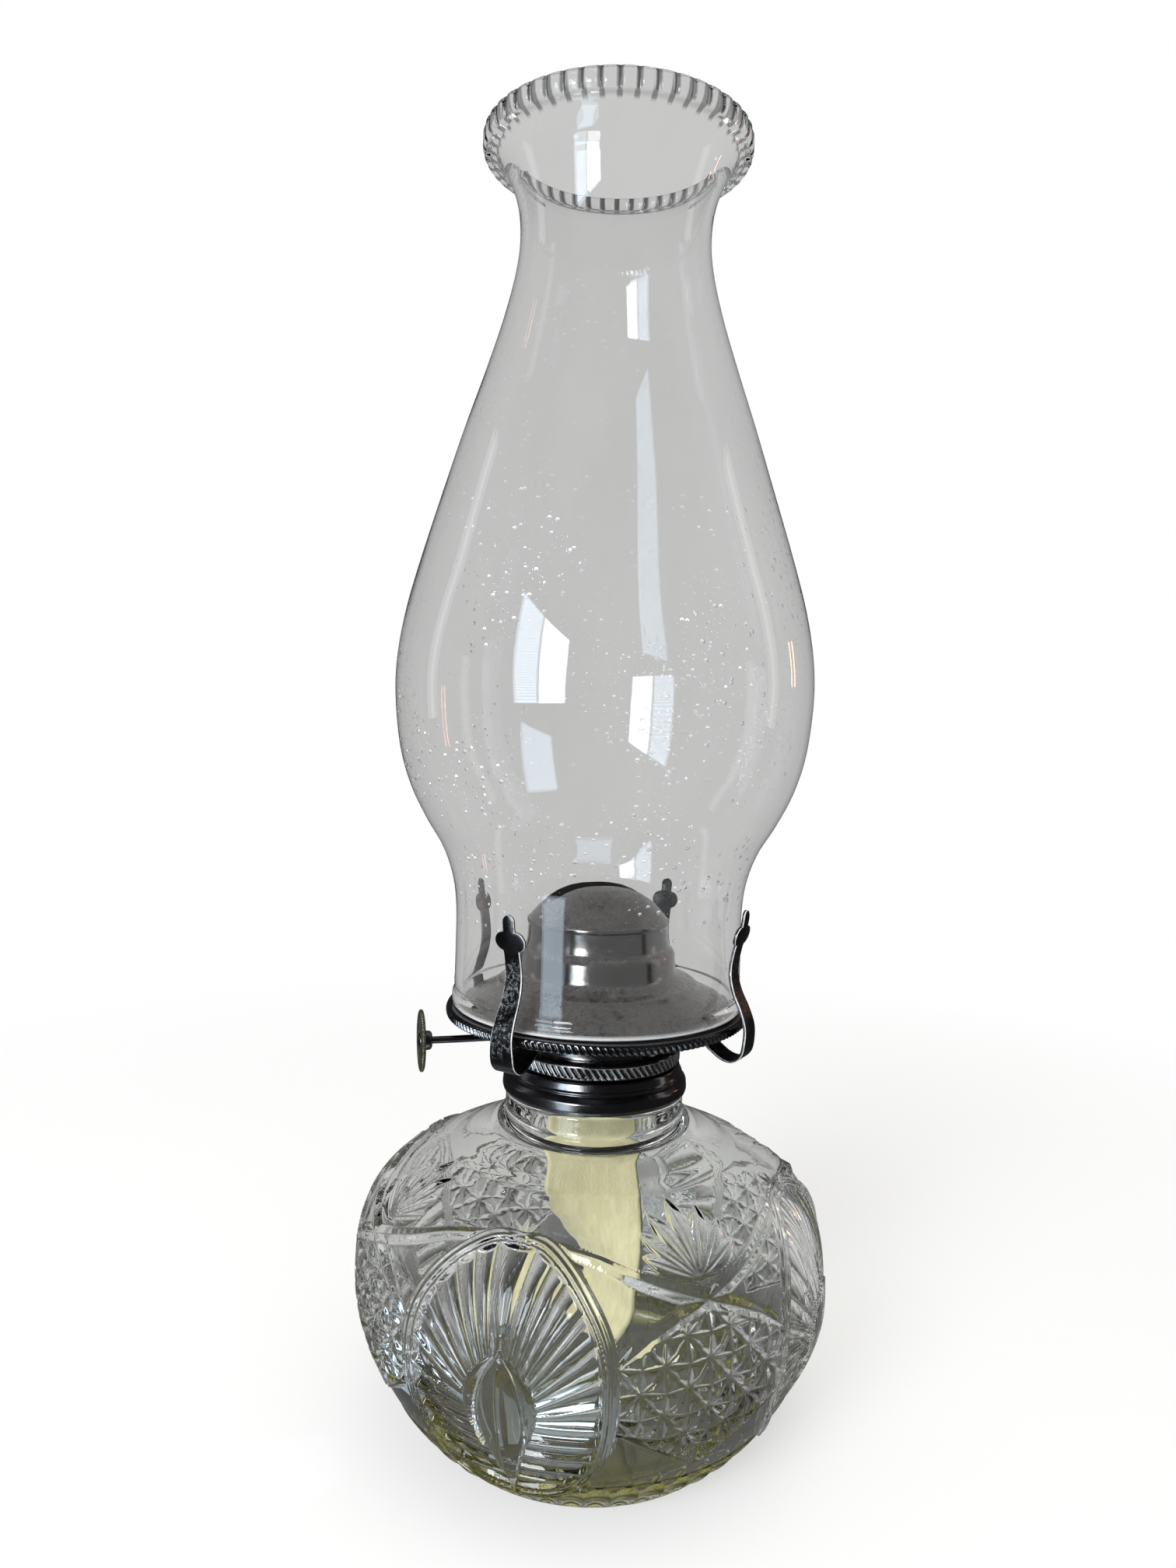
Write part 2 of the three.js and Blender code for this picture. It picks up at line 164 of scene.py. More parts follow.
def face_outwards(mesh):
    """Turns every face over if the closed mesh encloses a negative volume."""
    mesh.calc_loop_triangles()
    corners = np.zeros(len(mesh.loop_triangles) * 3, int)
    mesh.loop_triangles.foreach_get("vertices", corners)
    co = np.zeros(len(mesh.vertices) * 3)
    mesh.vertices.foreach_get("co", co)
    a, b, c = np.moveaxis(co.reshape(-1, 3)[corners.reshape(-1, 3)], 1, 0)
    if np.einsum("ij,ij->i", a, np.cross(b, c)).sum() < 0:
        mesh.flip_normals()


def ring_faces(rows, sides, closed=False):
    """Faces between rows of rings, with the last ring joined to the first if closed."""
    a, b = np.meshgrid(np.arange(rows if closed else rows - 1), np.arange(sides), indexing="ij")
    a, b = a.ravel(), b.ravel()
    a1, b1 = (a + 1) % rows, (b + 1) % sides
    return np.column_stack([a * sides + b, a * sides + b1, a1 * sides + b1, a1 * sides + b]).tolist()


def revolved(profile, sides, shape=None, closed=True):
    """Points and faces of a round body about +Z. profile is a closed loop of [radius, height], or a
    line from axis to axis. shape(radius, height, azimuth) may move the grid of points."""
    profile = np.asarray(profile, float)
    if not closed:
        poles, profile = profile[[0, -1]], profile[1:-1]
    rows = len(profile)
    azimuth = np.broadcast_to(np.arange(sides) * TAU / sides, (rows, sides))
    radius = np.repeat(profile[:, :1], sides, 1)
    height = np.repeat(profile[:, 1:], sides, 1)
    if shape:
        radius, height, azimuth = shape(radius, height, azimuth)
    points = np.stack([radius * np.sin(azimuth), -radius * np.cos(azimuth), height], -1).reshape(-1, 3)
    faces = ring_faces(rows, sides, closed)
    if not closed:
        first, last = len(points), len(points) + 1
        points = np.vstack([points, [[0, 0, poles[0][1]], [0, 0, poles[1][1]]]])
        ring = np.arange(sides)
        turn = (ring + 1) % sides
        faces += np.column_stack([turn, ring, np.full(sides, first)]).tolist()
        top = (rows - 1) * sides
        faces += np.column_stack([top + ring, top + turn, np.full(sides, last)]).tolist()
    return points, faces


def round_piece(name, profile, sides, material, shape=None, closed=True, sharp=None):
    return mesh_object(name, *revolved(profile, sides, shape, closed), material, sharp)


def belongs(obj, body, slot, node):
    """obj rides on a body and stands for a CAD node. The slot is not used."""
    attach(obj, body)
    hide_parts(node)


def cut_away(obj, cutter):
    """Takes the cutter's shape out of obj and removes the cutter."""
    modifier = obj.modifiers.new("cut", "BOOLEAN")
    modifier.operation, modifier.solver, modifier.object = "DIFFERENCE", "EXACT", cutter
    bpy.context.view_layer.update()
    result = bpy.data.meshes.new_from_object(
        obj.evaluated_get(bpy.context.evaluated_depsgraph_get()))
    obj.modifiers.clear()
    obj.data = result
    bpy.data.objects.remove(cutter)


def prisms(outlines, low, high):
    """A cutter with the given [x, y] outlines from height low to high."""
    points, faces = [], []
    for outline in outlines:
        n, at = len(outline), len(points)
        points += [[x, y, z] for z in (low, high) for x, y in outline]
        faces += [list(range(at, at + n))[::-1], list(range(at + n, at + 2 * n))]
        faces += [[at + i, at + (i + 1) % n, at + n + (i + 1) % n, at + n + i] for i in range(n)]
    return mesh_object("cutter", points, faces, cutter_material)


def circle(x, y, radius, count=24):
    turn = np.arange(count) * TAU / count
    return np.column_stack([x + radius * np.cos(turn), y + radius * np.sin(turn)])


def waves(azimuth, height, amount, seed, count=9):
    """Soft unevenness over a round surface, seamless in azimuth."""
    rng = np.random.default_rng(seed)
    total = 0
    for _ in range(count):
        turns, rate = rng.integers(0, 6), rng.uniform(-0.12, 0.12)
        total = total + np.cos(turns * azimuth + rate * height + rng.uniform(0, TAU))
    return total * amount / count


# ---------- materials ----------
BEADS = 48                      # round the chimney's lip
LIP_FROM = CHIMNEY_BASE + 214.8


class Nodes:
    """Short ways to add to the node tree of a material or world."""

    def __init__(self, owner, coordinates):
        owner.use_nodes = True
        self.tree = owner.node_tree
        self.coordinates = self.node("ShaderNodeTexCoord").outputs[coordinates]

    def node(self, kind, **settings):
        node = self.tree.nodes.new(kind)
        for key, value in settings.items():
            if hasattr(node, key):
                setattr(node, key, value)
            else:
                self.feed(node.inputs[key.replace("_", " ")], value)
        return node

    def feed(self, socket, value):
        if isinstance(value, bpy.types.NodeSocket):
            self.tree.links.new(value, socket)
        elif isinstance(value, tuple) and socket.type == "RGBA":
            socket.default_value = (*value, 1)
        else:
            socket.default_value = value

    def stretched(self, scale):
        return self.node("ShaderNodeMapping", Vector=self.coordinates, Scale=scale).outputs[0]

    def noise(self, scale, detail=4.0, roughness=0.55, vector=None, distortion=0.0):
        return self.node(
            "ShaderNodeTexNoise", Vector=vector or self.coordinates, Scale=scale, Detail=detail,
            Roughness=roughness, Distortion=distortion).outputs["Fac"]

    def spots(self, scale, vector=None):
        return self.node(
            "ShaderNodeTexVoronoi", Vector=vector or self.coordinates, Scale=scale).outputs["Distance"]

    def span(self, value, low, high, out_low=0, out_high=1):
        return self.node("ShaderNodeMapRange", Value=value, From_Min=low, From_Max=high,
                         To_Min=out_low, To_Max=out_high).outputs[0]

    def math(self, operation, a, b=0.0, kind="ShaderNodeMath", **settings):
        node = self.node(kind, operation=operation, **settings)
        self.feed(node.inputs[0], a)
        self.feed(node.inputs[1], b)
        return node.outputs["Value"]

    def times(self, value, *factors):
        for factor in factors:
            value = self.math("MULTIPLY", value, factor)
        return value

    def length(self, vector):
        return self.math("LENGTH", vector, (0, 0, 0), "ShaderNodeVectorMath")

    def toward(self, vector, place):
        return self.math("DOT_PRODUCT", vector, place, "ShaderNodeVectorMath")

    def xyz(self, vector=None):
        return self.node("ShaderNodeSeparateXYZ", Vector=vector or self.coordinates).outputs

    def ray(self, kind):
        return self.node("ShaderNodeLightPath").outputs[f"Is {kind} Ray"]

    def bounced(self):
        """1 for rays that a surface mirrors, 0 for those that glass lets through."""
        return self.math("SUBTRACT", self.ray("Glossy"), self.ray("Transmission"), use_clamp=True)

    def mix(self, factor, a, b):
        node = self.node("ShaderNodeMix", data_type="RGBA")
        for socket, value in ((node.inputs[0], factor), (node.inputs[6], a), (node.inputs[7], b)):
            self.feed(socket, value)
        return node.outputs[2]

    def emission(self, colour, strength=1.0):
        return self.node("ShaderNodeEmission", Color=colour, Strength=strength).outputs[0]

    def blend(self, factor, a, b):
        node = self.node("ShaderNodeMixShader")
        for socket, value in zip(node.inputs, (factor, a, b)):
            self.feed(socket, value)
        return node.outputs[0]


class Shader(Nodes):
    """A node material with a Principled BSDF."""

    def __init__(self, name, **values):
        self.material = bpy.data.materials.new(name)
        super().__init__(self.material, "Object")
        self.bsdf = self.tree.nodes["Principled BSDF"]
        for key, value in values.items():
            self.set(key.replace("_", " "), value)

    def bump(self, height, distance, strength=1.0, normal=None):
        node = self.node("ShaderNodeBump", Height=height, Distance=distance, Strength=strength)
        if normal:
            self.feed(node.inputs["Normal"], normal)
        return node.outputs[0]

    def set(self, key, value):
        self.feed(self.bsdf.inputs[key], value)

    def shows(self, surface):
        self.feed(self.tree.nodes["Material Output"].inputs[0], surface)

    def clear_to_lamp_light(self):
        """Lets lamp light through: shadow rays meet a tinted transparent surface."""
        clear = self.node("ShaderNodeBsdfTransparent", Color=(0.86, 0.86, 0.85)).outputs[0]
        self.shows(self.blend(self.ray("Shadow"), self.bsdf.outputs[0], clear))


cutter_material = bpy.data.materials.new("cutter")


def black_nickel():
    s = Shader("black_nickel", Metallic=1.0)
    tarnish = s.span(s.noise(90, 5, 0.6), 0.35, 0.7)
    s.set("Base Color", s.mix(tarnish, (0.12, 0.12, 0.133), (0.2, 0.195, 0.187)))
    smudge = s.noise(45, 3, 0.5, distortion=0.6)
    s.set("Roughness", s.span(smudge, 0.35, 0.7, 0.1, 0.3))
    s.set("Normal", s.bump(s.noise(700, 3), 0.00006, 0.35))
    return s.material


def prong_metal():
    s = Shader("prong_metal", Metallic=1.0)
    pits = s.noise(900, 5, 0.7, distortion=0.5)
    worn = s.noise(120, 4, 0.6)
    up = s.xyz()["Z"]
    strap = s.times(s.span(up, 0.104, 0.11, 0.1, 1), s.span(up, 0.124, 0.13, 1, 0.06))
    pitted = s.times(s.span(pits, 0.5, 0.6), s.span(worn, 0.42, 0.6, 0.15, 1), strap)
    s.set("Base Color", s.mix(pitted, (0.09, 0.088, 0.09), (0.42, 0.41, 0.4)))
    smooth_parts = s.span(worn, 0.35, 0.65, 0.14, 0.3)
    s.set("Roughness", s.math("MAXIMUM", smooth_parts, s.times(pitted, 0.4)))
    s.set("Normal", s.bump(pitted, 0.00012, 0.7))
    return s.material


def worn_and_highlight_metal(name, metallic, dark, bright):
    """Bare metal where the plating has rubbed off, made pale enough to stand as a painted highlight."""
    s = Shader(name, Metallic=metallic)
    worn = s.noise(260, 4, 0.65)
    s.set("Base Color", s.mix(s.span(worn, 0.35, 0.6), (dark,) * 3, (bright,) * 3))
    s.set("Roughness", s.span(worn, 0.35, 0.65, 0.25, 0.4))
    return s.material


def dusty_metal():
    """Dark metal with dust on what faces up."""
    s = Shader("dusty_metal")
    upward = s.xyz(s.node("ShaderNodeTexCoord").outputs["Normal"])["Z"]
    fall = s.span(upward, 0.15, 0.8, 0.12, 1)
    specks = s.noise(600, 7, 0.8)
    streak = s.noise(60, 4, 0.6, s.stretched((1, 1, 0.25)))
    dust = s.times(s.span(specks, 0.38, 0.66, 0.1, 1), s.span(streak, 0.3, 0.7, 0.4, 1), fall)
    s.set("Base Color", s.mix(dust, (0.21, 0.205, 0.205), (0.165, 0.152, 0.138)))
    s.set("Metallic", s.span(dust, 0.1, 0.8, 1.0, 0.55))
    s.set("Roughness", s.span(dust, 0.0, 0.8, 0.16, 0.42))
    s.set("Normal", s.bump(s.times(specks, fall), 0.00007, 0.5))
    return s.material


def knob_metal():
    s = Shader("knob_metal", Metallic=0.9)
    wear = s.noise(300, 5, 0.65)
    s.set("Base Color", s.mix(s.span(wear, 0.4, 0.65), (0.12, 0.112, 0.08), (0.27, 0.255, 0.18)))
    s.set("Roughness", s.span(wear, 0.35, 0.7, 0.28, 0.5))
    s.set("Normal", s.bump(wear, 0.0001, 0.5))
    return s.material


def chimney_glass_material():
    s = Shader("chimney_glass", Transmission_Weight=1.0, IOR=1.48, Roughness=0.0)
    haze = s.noise(40, 4, 0.6, s.stretched((1, 1, 0.35)))
    clear = s.mix(s.span(haze, 0.35, 0.7), (0.965, 0.965, 0.965), (0.92, 0.92, 0.92))
    x, y, up = s.xyz()
    turn = s.times(s.math("ARCTAN2", x, y), BEADS / TAU)
    # Painted shade: the base colour is darkened in the grooves between the lip's beads.
    groove_shade = s.span(s.math("PINGPONG", turn, 0.5), 0.13, 0.21, 1, 0)
    lip = s.times(s.span(up, LIP_FROM * MM, (LIP_FROM + 0.8) * MM), groove_shade)
    s.set("Base Color", s.mix(lip, clear, (0.17, 0.17, 0.17)))
    damp = s.span(s.noise(24, 2), 0.49, 0.58)
    wet = s.times(damp, s.span(up, 0.128, 0.15), s.span(up, 0.205, 0.24, 1, 0.06))
    below = s.node("ShaderNodeMapping", Vector=s.coordinates, Location=(0, 0, 0.00042)).outputs[0]
    drops = s.span(s.spots(300), 0.13, 0.16, 1, 0)
    crescent = s.times(drops, s.span(s.spots(300, below), 0.13, 0.17))
    specks = s.span(s.spots(680), 0.05, 0.09, 1, 0)
    # Painted glints: on the damp band, each drop's offset crescent and the small specks become whiter, less
    # clear glass.
    bright = s.times(wet, s.math("MAXIMUM", crescent, specks))
    # Painted highlight: the lowest millimetre of the foot is made less clear and so whiter, a bright line
    # round it.
    foot = s.span(up, (CHIMNEY_BASE + 0.5) * MM, (CHIMNEY_BASE + 1.1) * MM, 0.55, 0)
    s.set("Transmission Weight", s.span(s.math("MAXIMUM", bright, foot), 0, 1, 1, 0.1))
    uneven = s.bump(s.noise(14, 2), 0.0012, 0.12)
    s.set("Normal", s.bump(s.times(drops, wet), 0.0002, 0.5, uneven))
    s.clear_to_lamp_light()
    return s.material


def font_glass_material():
    s = Shader("font_glass", Transmission_Weight=1.0, IOR=1.5, Roughness=0.0)
    haze = s.noise(60, 3, 0.6)
    s.set("Base Color", s.mix(s.span(haze, 0.35, 0.7), (0.965, 0.97, 0.96), (0.93, 0.94, 0.925)))
    s.set("Normal", s.bump(s.noise(260, 2), 0.00008, 0.2))
    s.clear_to_lamp_light()
    return s.material


def oil_material():
    s = Shader("lamp_oil", Transmission_Weight=1.0, IOR=1.44, Roughness=0.0)
    rim = s.span(s.length(s.stretched((1, 1, 0))), 0.03, 0.042, 0, 1)
    s.set("Base Color", s.mix(rim, (0.78, 0.78, 0.66), (0.7, 0.67, 0.14)))
    s.set("Normal", s.bump(s.noise(30, 1), 0.0004, 0.2))
    s.clear_to_lamp_light()
    return s.material


def cotton():
    s = Shader("cotton", Roughness=0.9, Sheen_Weight=0.3)
    fibre = s.noise(420, 5, 0.7, s.stretched((1, 1, 0.4)))
    soak = s.noise(38, 3)
    weave = s.mix(s.span(fibre, 0.35, 0.7), (0.66, 0.6, 0.36), (0.84, 0.79, 0.52))
    s.set("Base Color", s.mix(s.span(soak, 0.35, 0.7, 0, 0.4), weave, (0.74, 0.67, 0.36)))
    s.set("Normal", s.bump(fibre, 0.0003, 0.8))
    return s.material


NICKEL, PRONG, DUSTY, KNOB = black_nickel(), prong_metal(), dusty_metal(), knob_metal()
# Pale rubbed metal that is partly painted highlight: on the prongs' edges and on the knurls' crests.
WORN_AND_HIGHLIGHT = worn_and_highlight_metal("worn_and_highlight_metal", 0.35, 0.5, 0.95)
WORN_CREST_AND_HIGHLIGHT = worn_and_highlight_metal("worn_crest_and_highlight", 0.8, 0.2, 0.6)
CHIMNEY_GLASS, FONT_GLASS = chimney_glass_material(), font_glass_material()
OIL, COTTON = oil_material(), cotton()

# ---------- font ----------
FONT_WALL = 4.2
FONT_FLOOR = 5.0
NECK_TOP = 93.2
NECK_BORE_R = 17.4
MEDALLION_AZIMUTH = -33.5       # four medallions, 90 degrees apart
FONT_SIDES = 1440
FONT_ROWS = 380
FONT_SIDE = [
    [40.5, 0], [45.6, 4.4], [49.6, 9.3], [53.2, 14.7], [56.4, 20.6], [59.1, 27], [61, 34], [61.6, 40.5],
    [61.3, 47.5], [60, 54], [57.2, 60.2], [52.8, 65.2], [47.1, 69], [41, 72], [35, 74.4], [29.6, 77],
    [25.6, 80],
]
# Outlines of the pressed pattern, [degrees from a medallion's middle, mm up the side].
RIBBON_OUT = [(0, 80.6), (8.5, 79.4), (15.5, 73.6), (20.5, 66.5), (23.5, 60), (25, 53), (25.2, 45), (25, 38),
              (24, 30), (21.8, 22.5), (17.5, 16), (10, 11), (0, 9.5)]
RIBBON_IN = [(0, 77.6), (6.5, 76.6), (13, 71.5), (18, 64.5), (21, 58), (22.4, 51), (22.6, 45), (22.4, 38),
             (21.4, 30), (19.2, 24), (15, 18), (8.5, 13.6), (0, 12)]
BAND_RISING = [(0, 79.5), (18.5, 75.3), (28.5, 71), (38.5, 67), (45, 64.6)]
BAND_FALLING = [(45, 64.6), (38.5, 62), (31.5, 58.5), (24, 52.5)]
RAY_EDGES = [0, 15, 29, 42, 55, 67, 75, 83, 97]    # degrees above the level through the eye
EYE_CENTRE = 38.0
EYE_ENDS = (12.0, 53.5)
RAY_PITCH = 5.0                 # of the level rays below the eye's middle
STAR_ROWS = (34.7, 5.82)        # first row's height and the rows' pitch
STAR_PITCH = 10.3               # degrees


def line_distance(angle, up, scale, line):
    """Millimetres to a line of [degrees, mm] points, and how far along it the nearest place is."""
    best = np.full(angle.shape, 1e9)
    along = np.zeros(angle.shape)
    for i, ((a0, s0), (a1, s1)) in enumerate(zip(line, line[1:])):
        ax, ay = (a0 - angle) * scale, s0 - up
        dx, dy = (a1 - a0) * scale, s1 - s0
        t = np.clip(-(ax * dx + ay * dy) / (dx * dx + dy * dy), 0, 1)
        distance = np.hypot(ax + t * dx, ay + t * dy)
        along = np.where(distance < best, (i + t) / (len(line) - 1), along)
        best = np.minimum(best, distance)
    return best, along


def inside_outline(angle, up, line):
    """True where a point lies between the middle line and a half outline that runs downwards."""
    angles, heights = np.array(line)[::-1].T
    half_width = np.interp(up, heights, angles, left=-1, right=-1)
    return (angle < half_width) & (up > heights[0]) & (up < heights[-1])


def star_cut(x, y, reach, width, depth):
    """Depth of an eight-rayed star cut at the origin, each ray a V that tapers to its tip."""
    distance = np.hypot(x, y)
    turn = np.arctan2(y, x)
    nearest = np.round(turn / (TAU / 8)) * TAU / 8
    across = np.abs(distance * np.sin(turn - nearest))
    taper = 1 - distance / reach
    return depth * np.clip(taper - across / width, 0, 1)


def font_relief(azimuth, up, radius):
    """Height in mm of the pressed pattern above the plain side."""
    angle = np.abs((np.degrees(azimuth) - MEDALLION_AZIMUTH + 45) % 90 - 45)
    scale = radius * math.radians(1)
    relief = np.full(angle.shape, -0.45)

    out_line, in_line = smooth(RIBBON_OUT, 40), smooth(RIBBON_IN, 40)
    to_out, _ = line_distance(angle, up, scale, out_line)
    to_in, _ = line_distance(angle, up, scale, in_line)
    in_out, in_in = inside_outline(angle, up, out_line), inside_outline(angle, up, in_line)

    # Star field between the ribbons, below the crossing bands.
    to_falling, along_falling = line_distance(angle, up, scale, BAND_FALLING)
    band_level = np.interp(angle, *np.array(BAND_FALLING[::-1]).T)
    hem = np.interp(angle, [26, 45], [36.5, 23])
    cut = 0
    for step in (0, 1):
        row = np.floor((up - STAR_ROWS[0]) / STAR_ROWS[1]) + step
        shift = np.where(row % 2 == 1, 0.0, 0.5)
        column = np.round((angle - 45) / STAR_PITCH - shift) + shift
        star_x = (angle - 45 - column * STAR_PITCH) * scale
        star_y = up - STAR_ROWS[0] - row * STAR_ROWS[1]
        reach = np.interp(np.abs(np.arctan2(star_y, star_x) * 8 / TAU) % 2, [0, 1, 2], [7.7, 6.2, 7.7])
        cut = np.maximum(cut, star_cut(star_x, star_y, reach, 1.7, 1.3))
    stars = 0.2 - cut
    field = ~in_out & (up < band_level) & (up > hem)
    relief = np.where(field, stars, relief)
    relief = np.where(~in_out & (np.abs(up - hem) < 0.8) & (up < band_level), 0.1 - np.abs(up - hem), relief)

    # Scalloped underside.
    scallop = np.abs(((np.degrees(azimuth) / 7.5) % 1) - 0.5) * 2
    arch = 17 - 3.2 * scallop**2
    under = -0.15 - 0.9 * (1 - scallop**2) * ease(up, 1.0, 4.0) * ease(arch - up, 0, 1.4)
    relief = np.where(~in_out & (up < 17), under, relief)

    # Bevelled bands that cross halfway between two medallions.
    to_rising, along_rising = line_distance(angle, up, scale, smooth(BAND_RISING, 12))
    rising = 1.05 - to_rising / np.interp(along_rising, [0, 0.15, 1], [0.25, 1.1, 2.1])
    falling = 1.05 - to_falling / np.interp(along_falling, [0, 0.75, 1], [2.1, 1.7, 0.3])
    roof = np.maximum(rising, falling)
    relief = np.where((roof > 0) & ~in_out, 0.75 * roof - 0.3, relief)

    # Fan of petals above the crossing.
    fan_x, fan_y = (angle - 45) * scale, up - 69.0
    reach = np.hypot(fan_x, fan_y)
    lean = np.degrees(np.arctan2(np.abs(fan_x), fan_y))
    petal = np.round(np.clip(lean, 0, 66) / 20.5)
    length = np.array([21.0, 18.5, 16.0, 13.5])[petal.astype(int)]
    across = np.abs(reach * np.sin(np.radians(lean - petal * 20.5)))
    ahead = reach * np.cos(np.radians(lean - petal * 20.5)) / length
    half = 2.9 * np.sin(np.pi * np.clip(ahead, 0, 1) ** 1.25) + 0.05
    leaf = np.clip(1 - (across / half) ** 2, 0, 1)
    inside_fan = (fan_y > 0) & (ahead < 1) & (across < half) & ~in_out
    relief = np.where(inside_fan, -0.35 - 1.0 * leaf + 0.45 * np.clip(1 - across / 0.5, 0, 1), relief)

    # Rays of the medallion, deepest in the middle of each.
    ray_x, ray_y = angle * scale, up - EYE_CENTRE
    turn = np.degrees(np.arctan2(ray_y, np.maximum(ray_x, 1e-6)))
    fan_phase = np.interp(turn, RAY_EDGES, range(len(RAY_EDGES)))
    phase = np.where(ray_y >= 0, fan_phase, ray_y / RAY_PITCH)
    part = phase - np.floor(phase)
    index = np.clip(np.floor(fan_phase).astype(int), 0, len(RAY_EDGES) - 2)
    fan_width = np.hypot(ray_x, ray_y) * np.radians(np.diff(RAY_EDGES)[index])
    width = np.where(ray_y >= 0, fan_width, RAY_PITCH)
    from_edge = 1 - np.abs(2 * part - 1)
    depth = np.clip(0.36 * width, 0.2, 1.7)
    ends = ease(to_in, 0.6, 1.3)
    rays = -0.15 - depth * (1 - (1 - from_edge) ** 2.4) * ends
    relief = np.where(in_in, rays, relief)

    # Pointed eye: a raised rim round a ridged lens.
    t = np.clip((up - EYE_ENDS[0]) / (EYE_ENDS[1] - EYE_ENDS[0]), 0, 1)
    rim = 8.2 * np.sin(np.pi * t**2.0) ** 0.8 * scale
    lens = 5.6 * np.sin(np.pi * t**1.45) ** 0.8 * scale
    in_eye = in_in & (t > 0) & (t < 1)
    across = np.clip((ray_x - lens) / np.maximum(rim - lens, 0.3), 0, 1)
    relief = np.where(in_eye & (ray_x < rim), 0.35 - 1.1 * np.abs(across - 0.55), relief)
    hollow = ray_x / np.maximum(lens, 0.3)
    ridge = -0.55 + 0.9 * (1 - hollow**2) + 0.35 * np.clip(1 - ray_x / 0.7, 0, 1)
    relief = np.where(in_eye & (ray_x < lens), ridge - 0.5 * ease(hollow, 0.82, 1.0), relief)

    # The ribbon round the medallion, with bevelled edges.
    ribbon = in_out & ~in_in
    edge = np.minimum(to_out, to_in)
    relief = np.where(ribbon, -0.55 + 1.0 * ease(edge, 0, 0.75) - 0.28 * ease(edge, 0.8, 1.6), relief)

    # Small star at the top of the medallion.
    tip_x, tip_y = angle * scale, up - 79.5
    relief = relief - star_cut(tip_x, tip_y, 5.0, 1.1, 0.9)

    relief = relief * ease(up, 0.3, 2.0) * (1 - ease(up, 91, 97))
    return relief + waves(azimuth, up, 0.12, 5)


def font():
    side = smooth(FONT_SIDE, FONT_ROWS)
    up = distances(side)
    across = sideways(side)
    neck = rounded([[25.6, 80], [23.4, 82], [23.4, 86.6], [21.6, 87], [21.6, NECK_TOP],
                    [NECK_BORE_R, NECK_TOP], [NECK_BORE_R, 78]], 0.8, closed=False)[1:]
    inner = offset(spaced(side, 60), FONT_WALL)
    inner = inner[(inner[:, 1] > FONT_FLOOR + 1) & (inner[:, 0] > NECK_BORE_R + 1.5)][::-1]
    inner = smooth(np.vstack([[NECK_BORE_R, 77.5], [NECK_BORE_R + 0.5, 76], inner]), 50)
    floor = rounded([inner[-1], [38, FONT_FLOOR], [20, FONT_FLOOR + 0.25], [0.5, FONT_FLOOR + 0.4]], 2,
                    closed=False)[1:]
    foot = [[0, 1.6], [0.5, 1.6], [20, 1.4], [36, 1.2], [37.2, 0.6], [37.8, 0.08], [39.2, 0]]
    profile = np.vstack([foot, side, neck, inner, floor, [[0, FONT_FLOOR + 0.4]]])
    first = len(foot) - 1

    def pressed(radius, height, azimuth):
        rows = slice(first, first + FONT_ROWS)
        lift = font_relief(azimuth[rows], np.repeat(up[:, None], FONT_SIDES, 1), radius[rows])
        radius, height = radius.copy(), height.copy()
        radius[rows] += lift * across[:, :1]
        height[rows] += lift * across[:, 1:]
        return radius, height, azimuth

    glass = round_piece("font_body", profile, FONT_SIDES, FONT_GLASS, pressed, closed=False)
    belongs(glass, "font", "font_glass", "font_glass")

    wall = offset(spaced(side, 200), FONT_WALL - 0.05)
    wall = wall[(wall[:, 1] > FONT_FLOOR + 1) & (wall[:, 1] < OIL_TOP + 0.8)]
    pool = np.vstack([[[0, FONT_FLOOR + 0.33], [0.5, FONT_FLOOR + 0.33], [20, FONT_FLOOR + 0.2],
                       [37.4, FONT_FLOOR - 0.05]], wall,
                      wall[-1] + [[-0.25, -0.05], [-0.9, -0.5], [-2, -0.75]],
                      [[20, OIL_TOP], [0.5, OIL_TOP], [0, OIL_TOP]]])
    oil = round_piece("oil_pool", pool, 160, OIL, closed=False)
    belongs(oil, "font", "lamp_oil", "lamp_oil")


font()

# ---------- collar and burner body ----------


def collar():
    outside = [[22, COLLAR_LOW], [24, COLLAR_LOW], [24.35, 88.2], [24.2, 90.2], [23.3, 91.4], [22.75, 91.8],
               [23.2, 92.3], [22.75, 92.8], [22.3, COLLAR_HIGH - 0.4], [21.9, COLLAR_HIGH]]
    inside = [[16.3, COLLAR_HIGH], [16.3, 88.6], [17, 88.6], [17, 93.8], [22, 93.8]]
    profile = rounded(outside + inside, 0.3, steps=5)
    piece = round_piece("collar_ring", profile, 256, NICKEL,
                        lambda r, z, a: (r + waves(a, z, 0.05, 11), z, a))
    belongs(piece, "font", "black_nickel", "font_collar")


collar()

GRIP_R = 22.4
KNURLS = 80
KNURL_LEAN = 1.15               # knurls that the slant crosses over the band's height
CREST_R = 22.33                 # the knurls are worn, with a painted highlight, beyond this radius


def wear_and_highlight_crests(piece, low, high):
    """Gives the pale worn metal to the knurls' crests between two heights: rubbed crests with a painted
    highlight along each.
    """
    centres = np.zeros(len(piece.data.polygons) * 3)
    piece.data.polygons.foreach_get("center", centres)
    x, y, z = centres.reshape(-1, 3).T / MM
    piece.data.materials.append(WORN_CREST_AND_HIGHLIGHT)
    worn = (np.hypot(x, y) > CREST_R) & (z > low) & (z < high)
    piece.data.polygons.foreach_set("material_index", worn.astype(int))


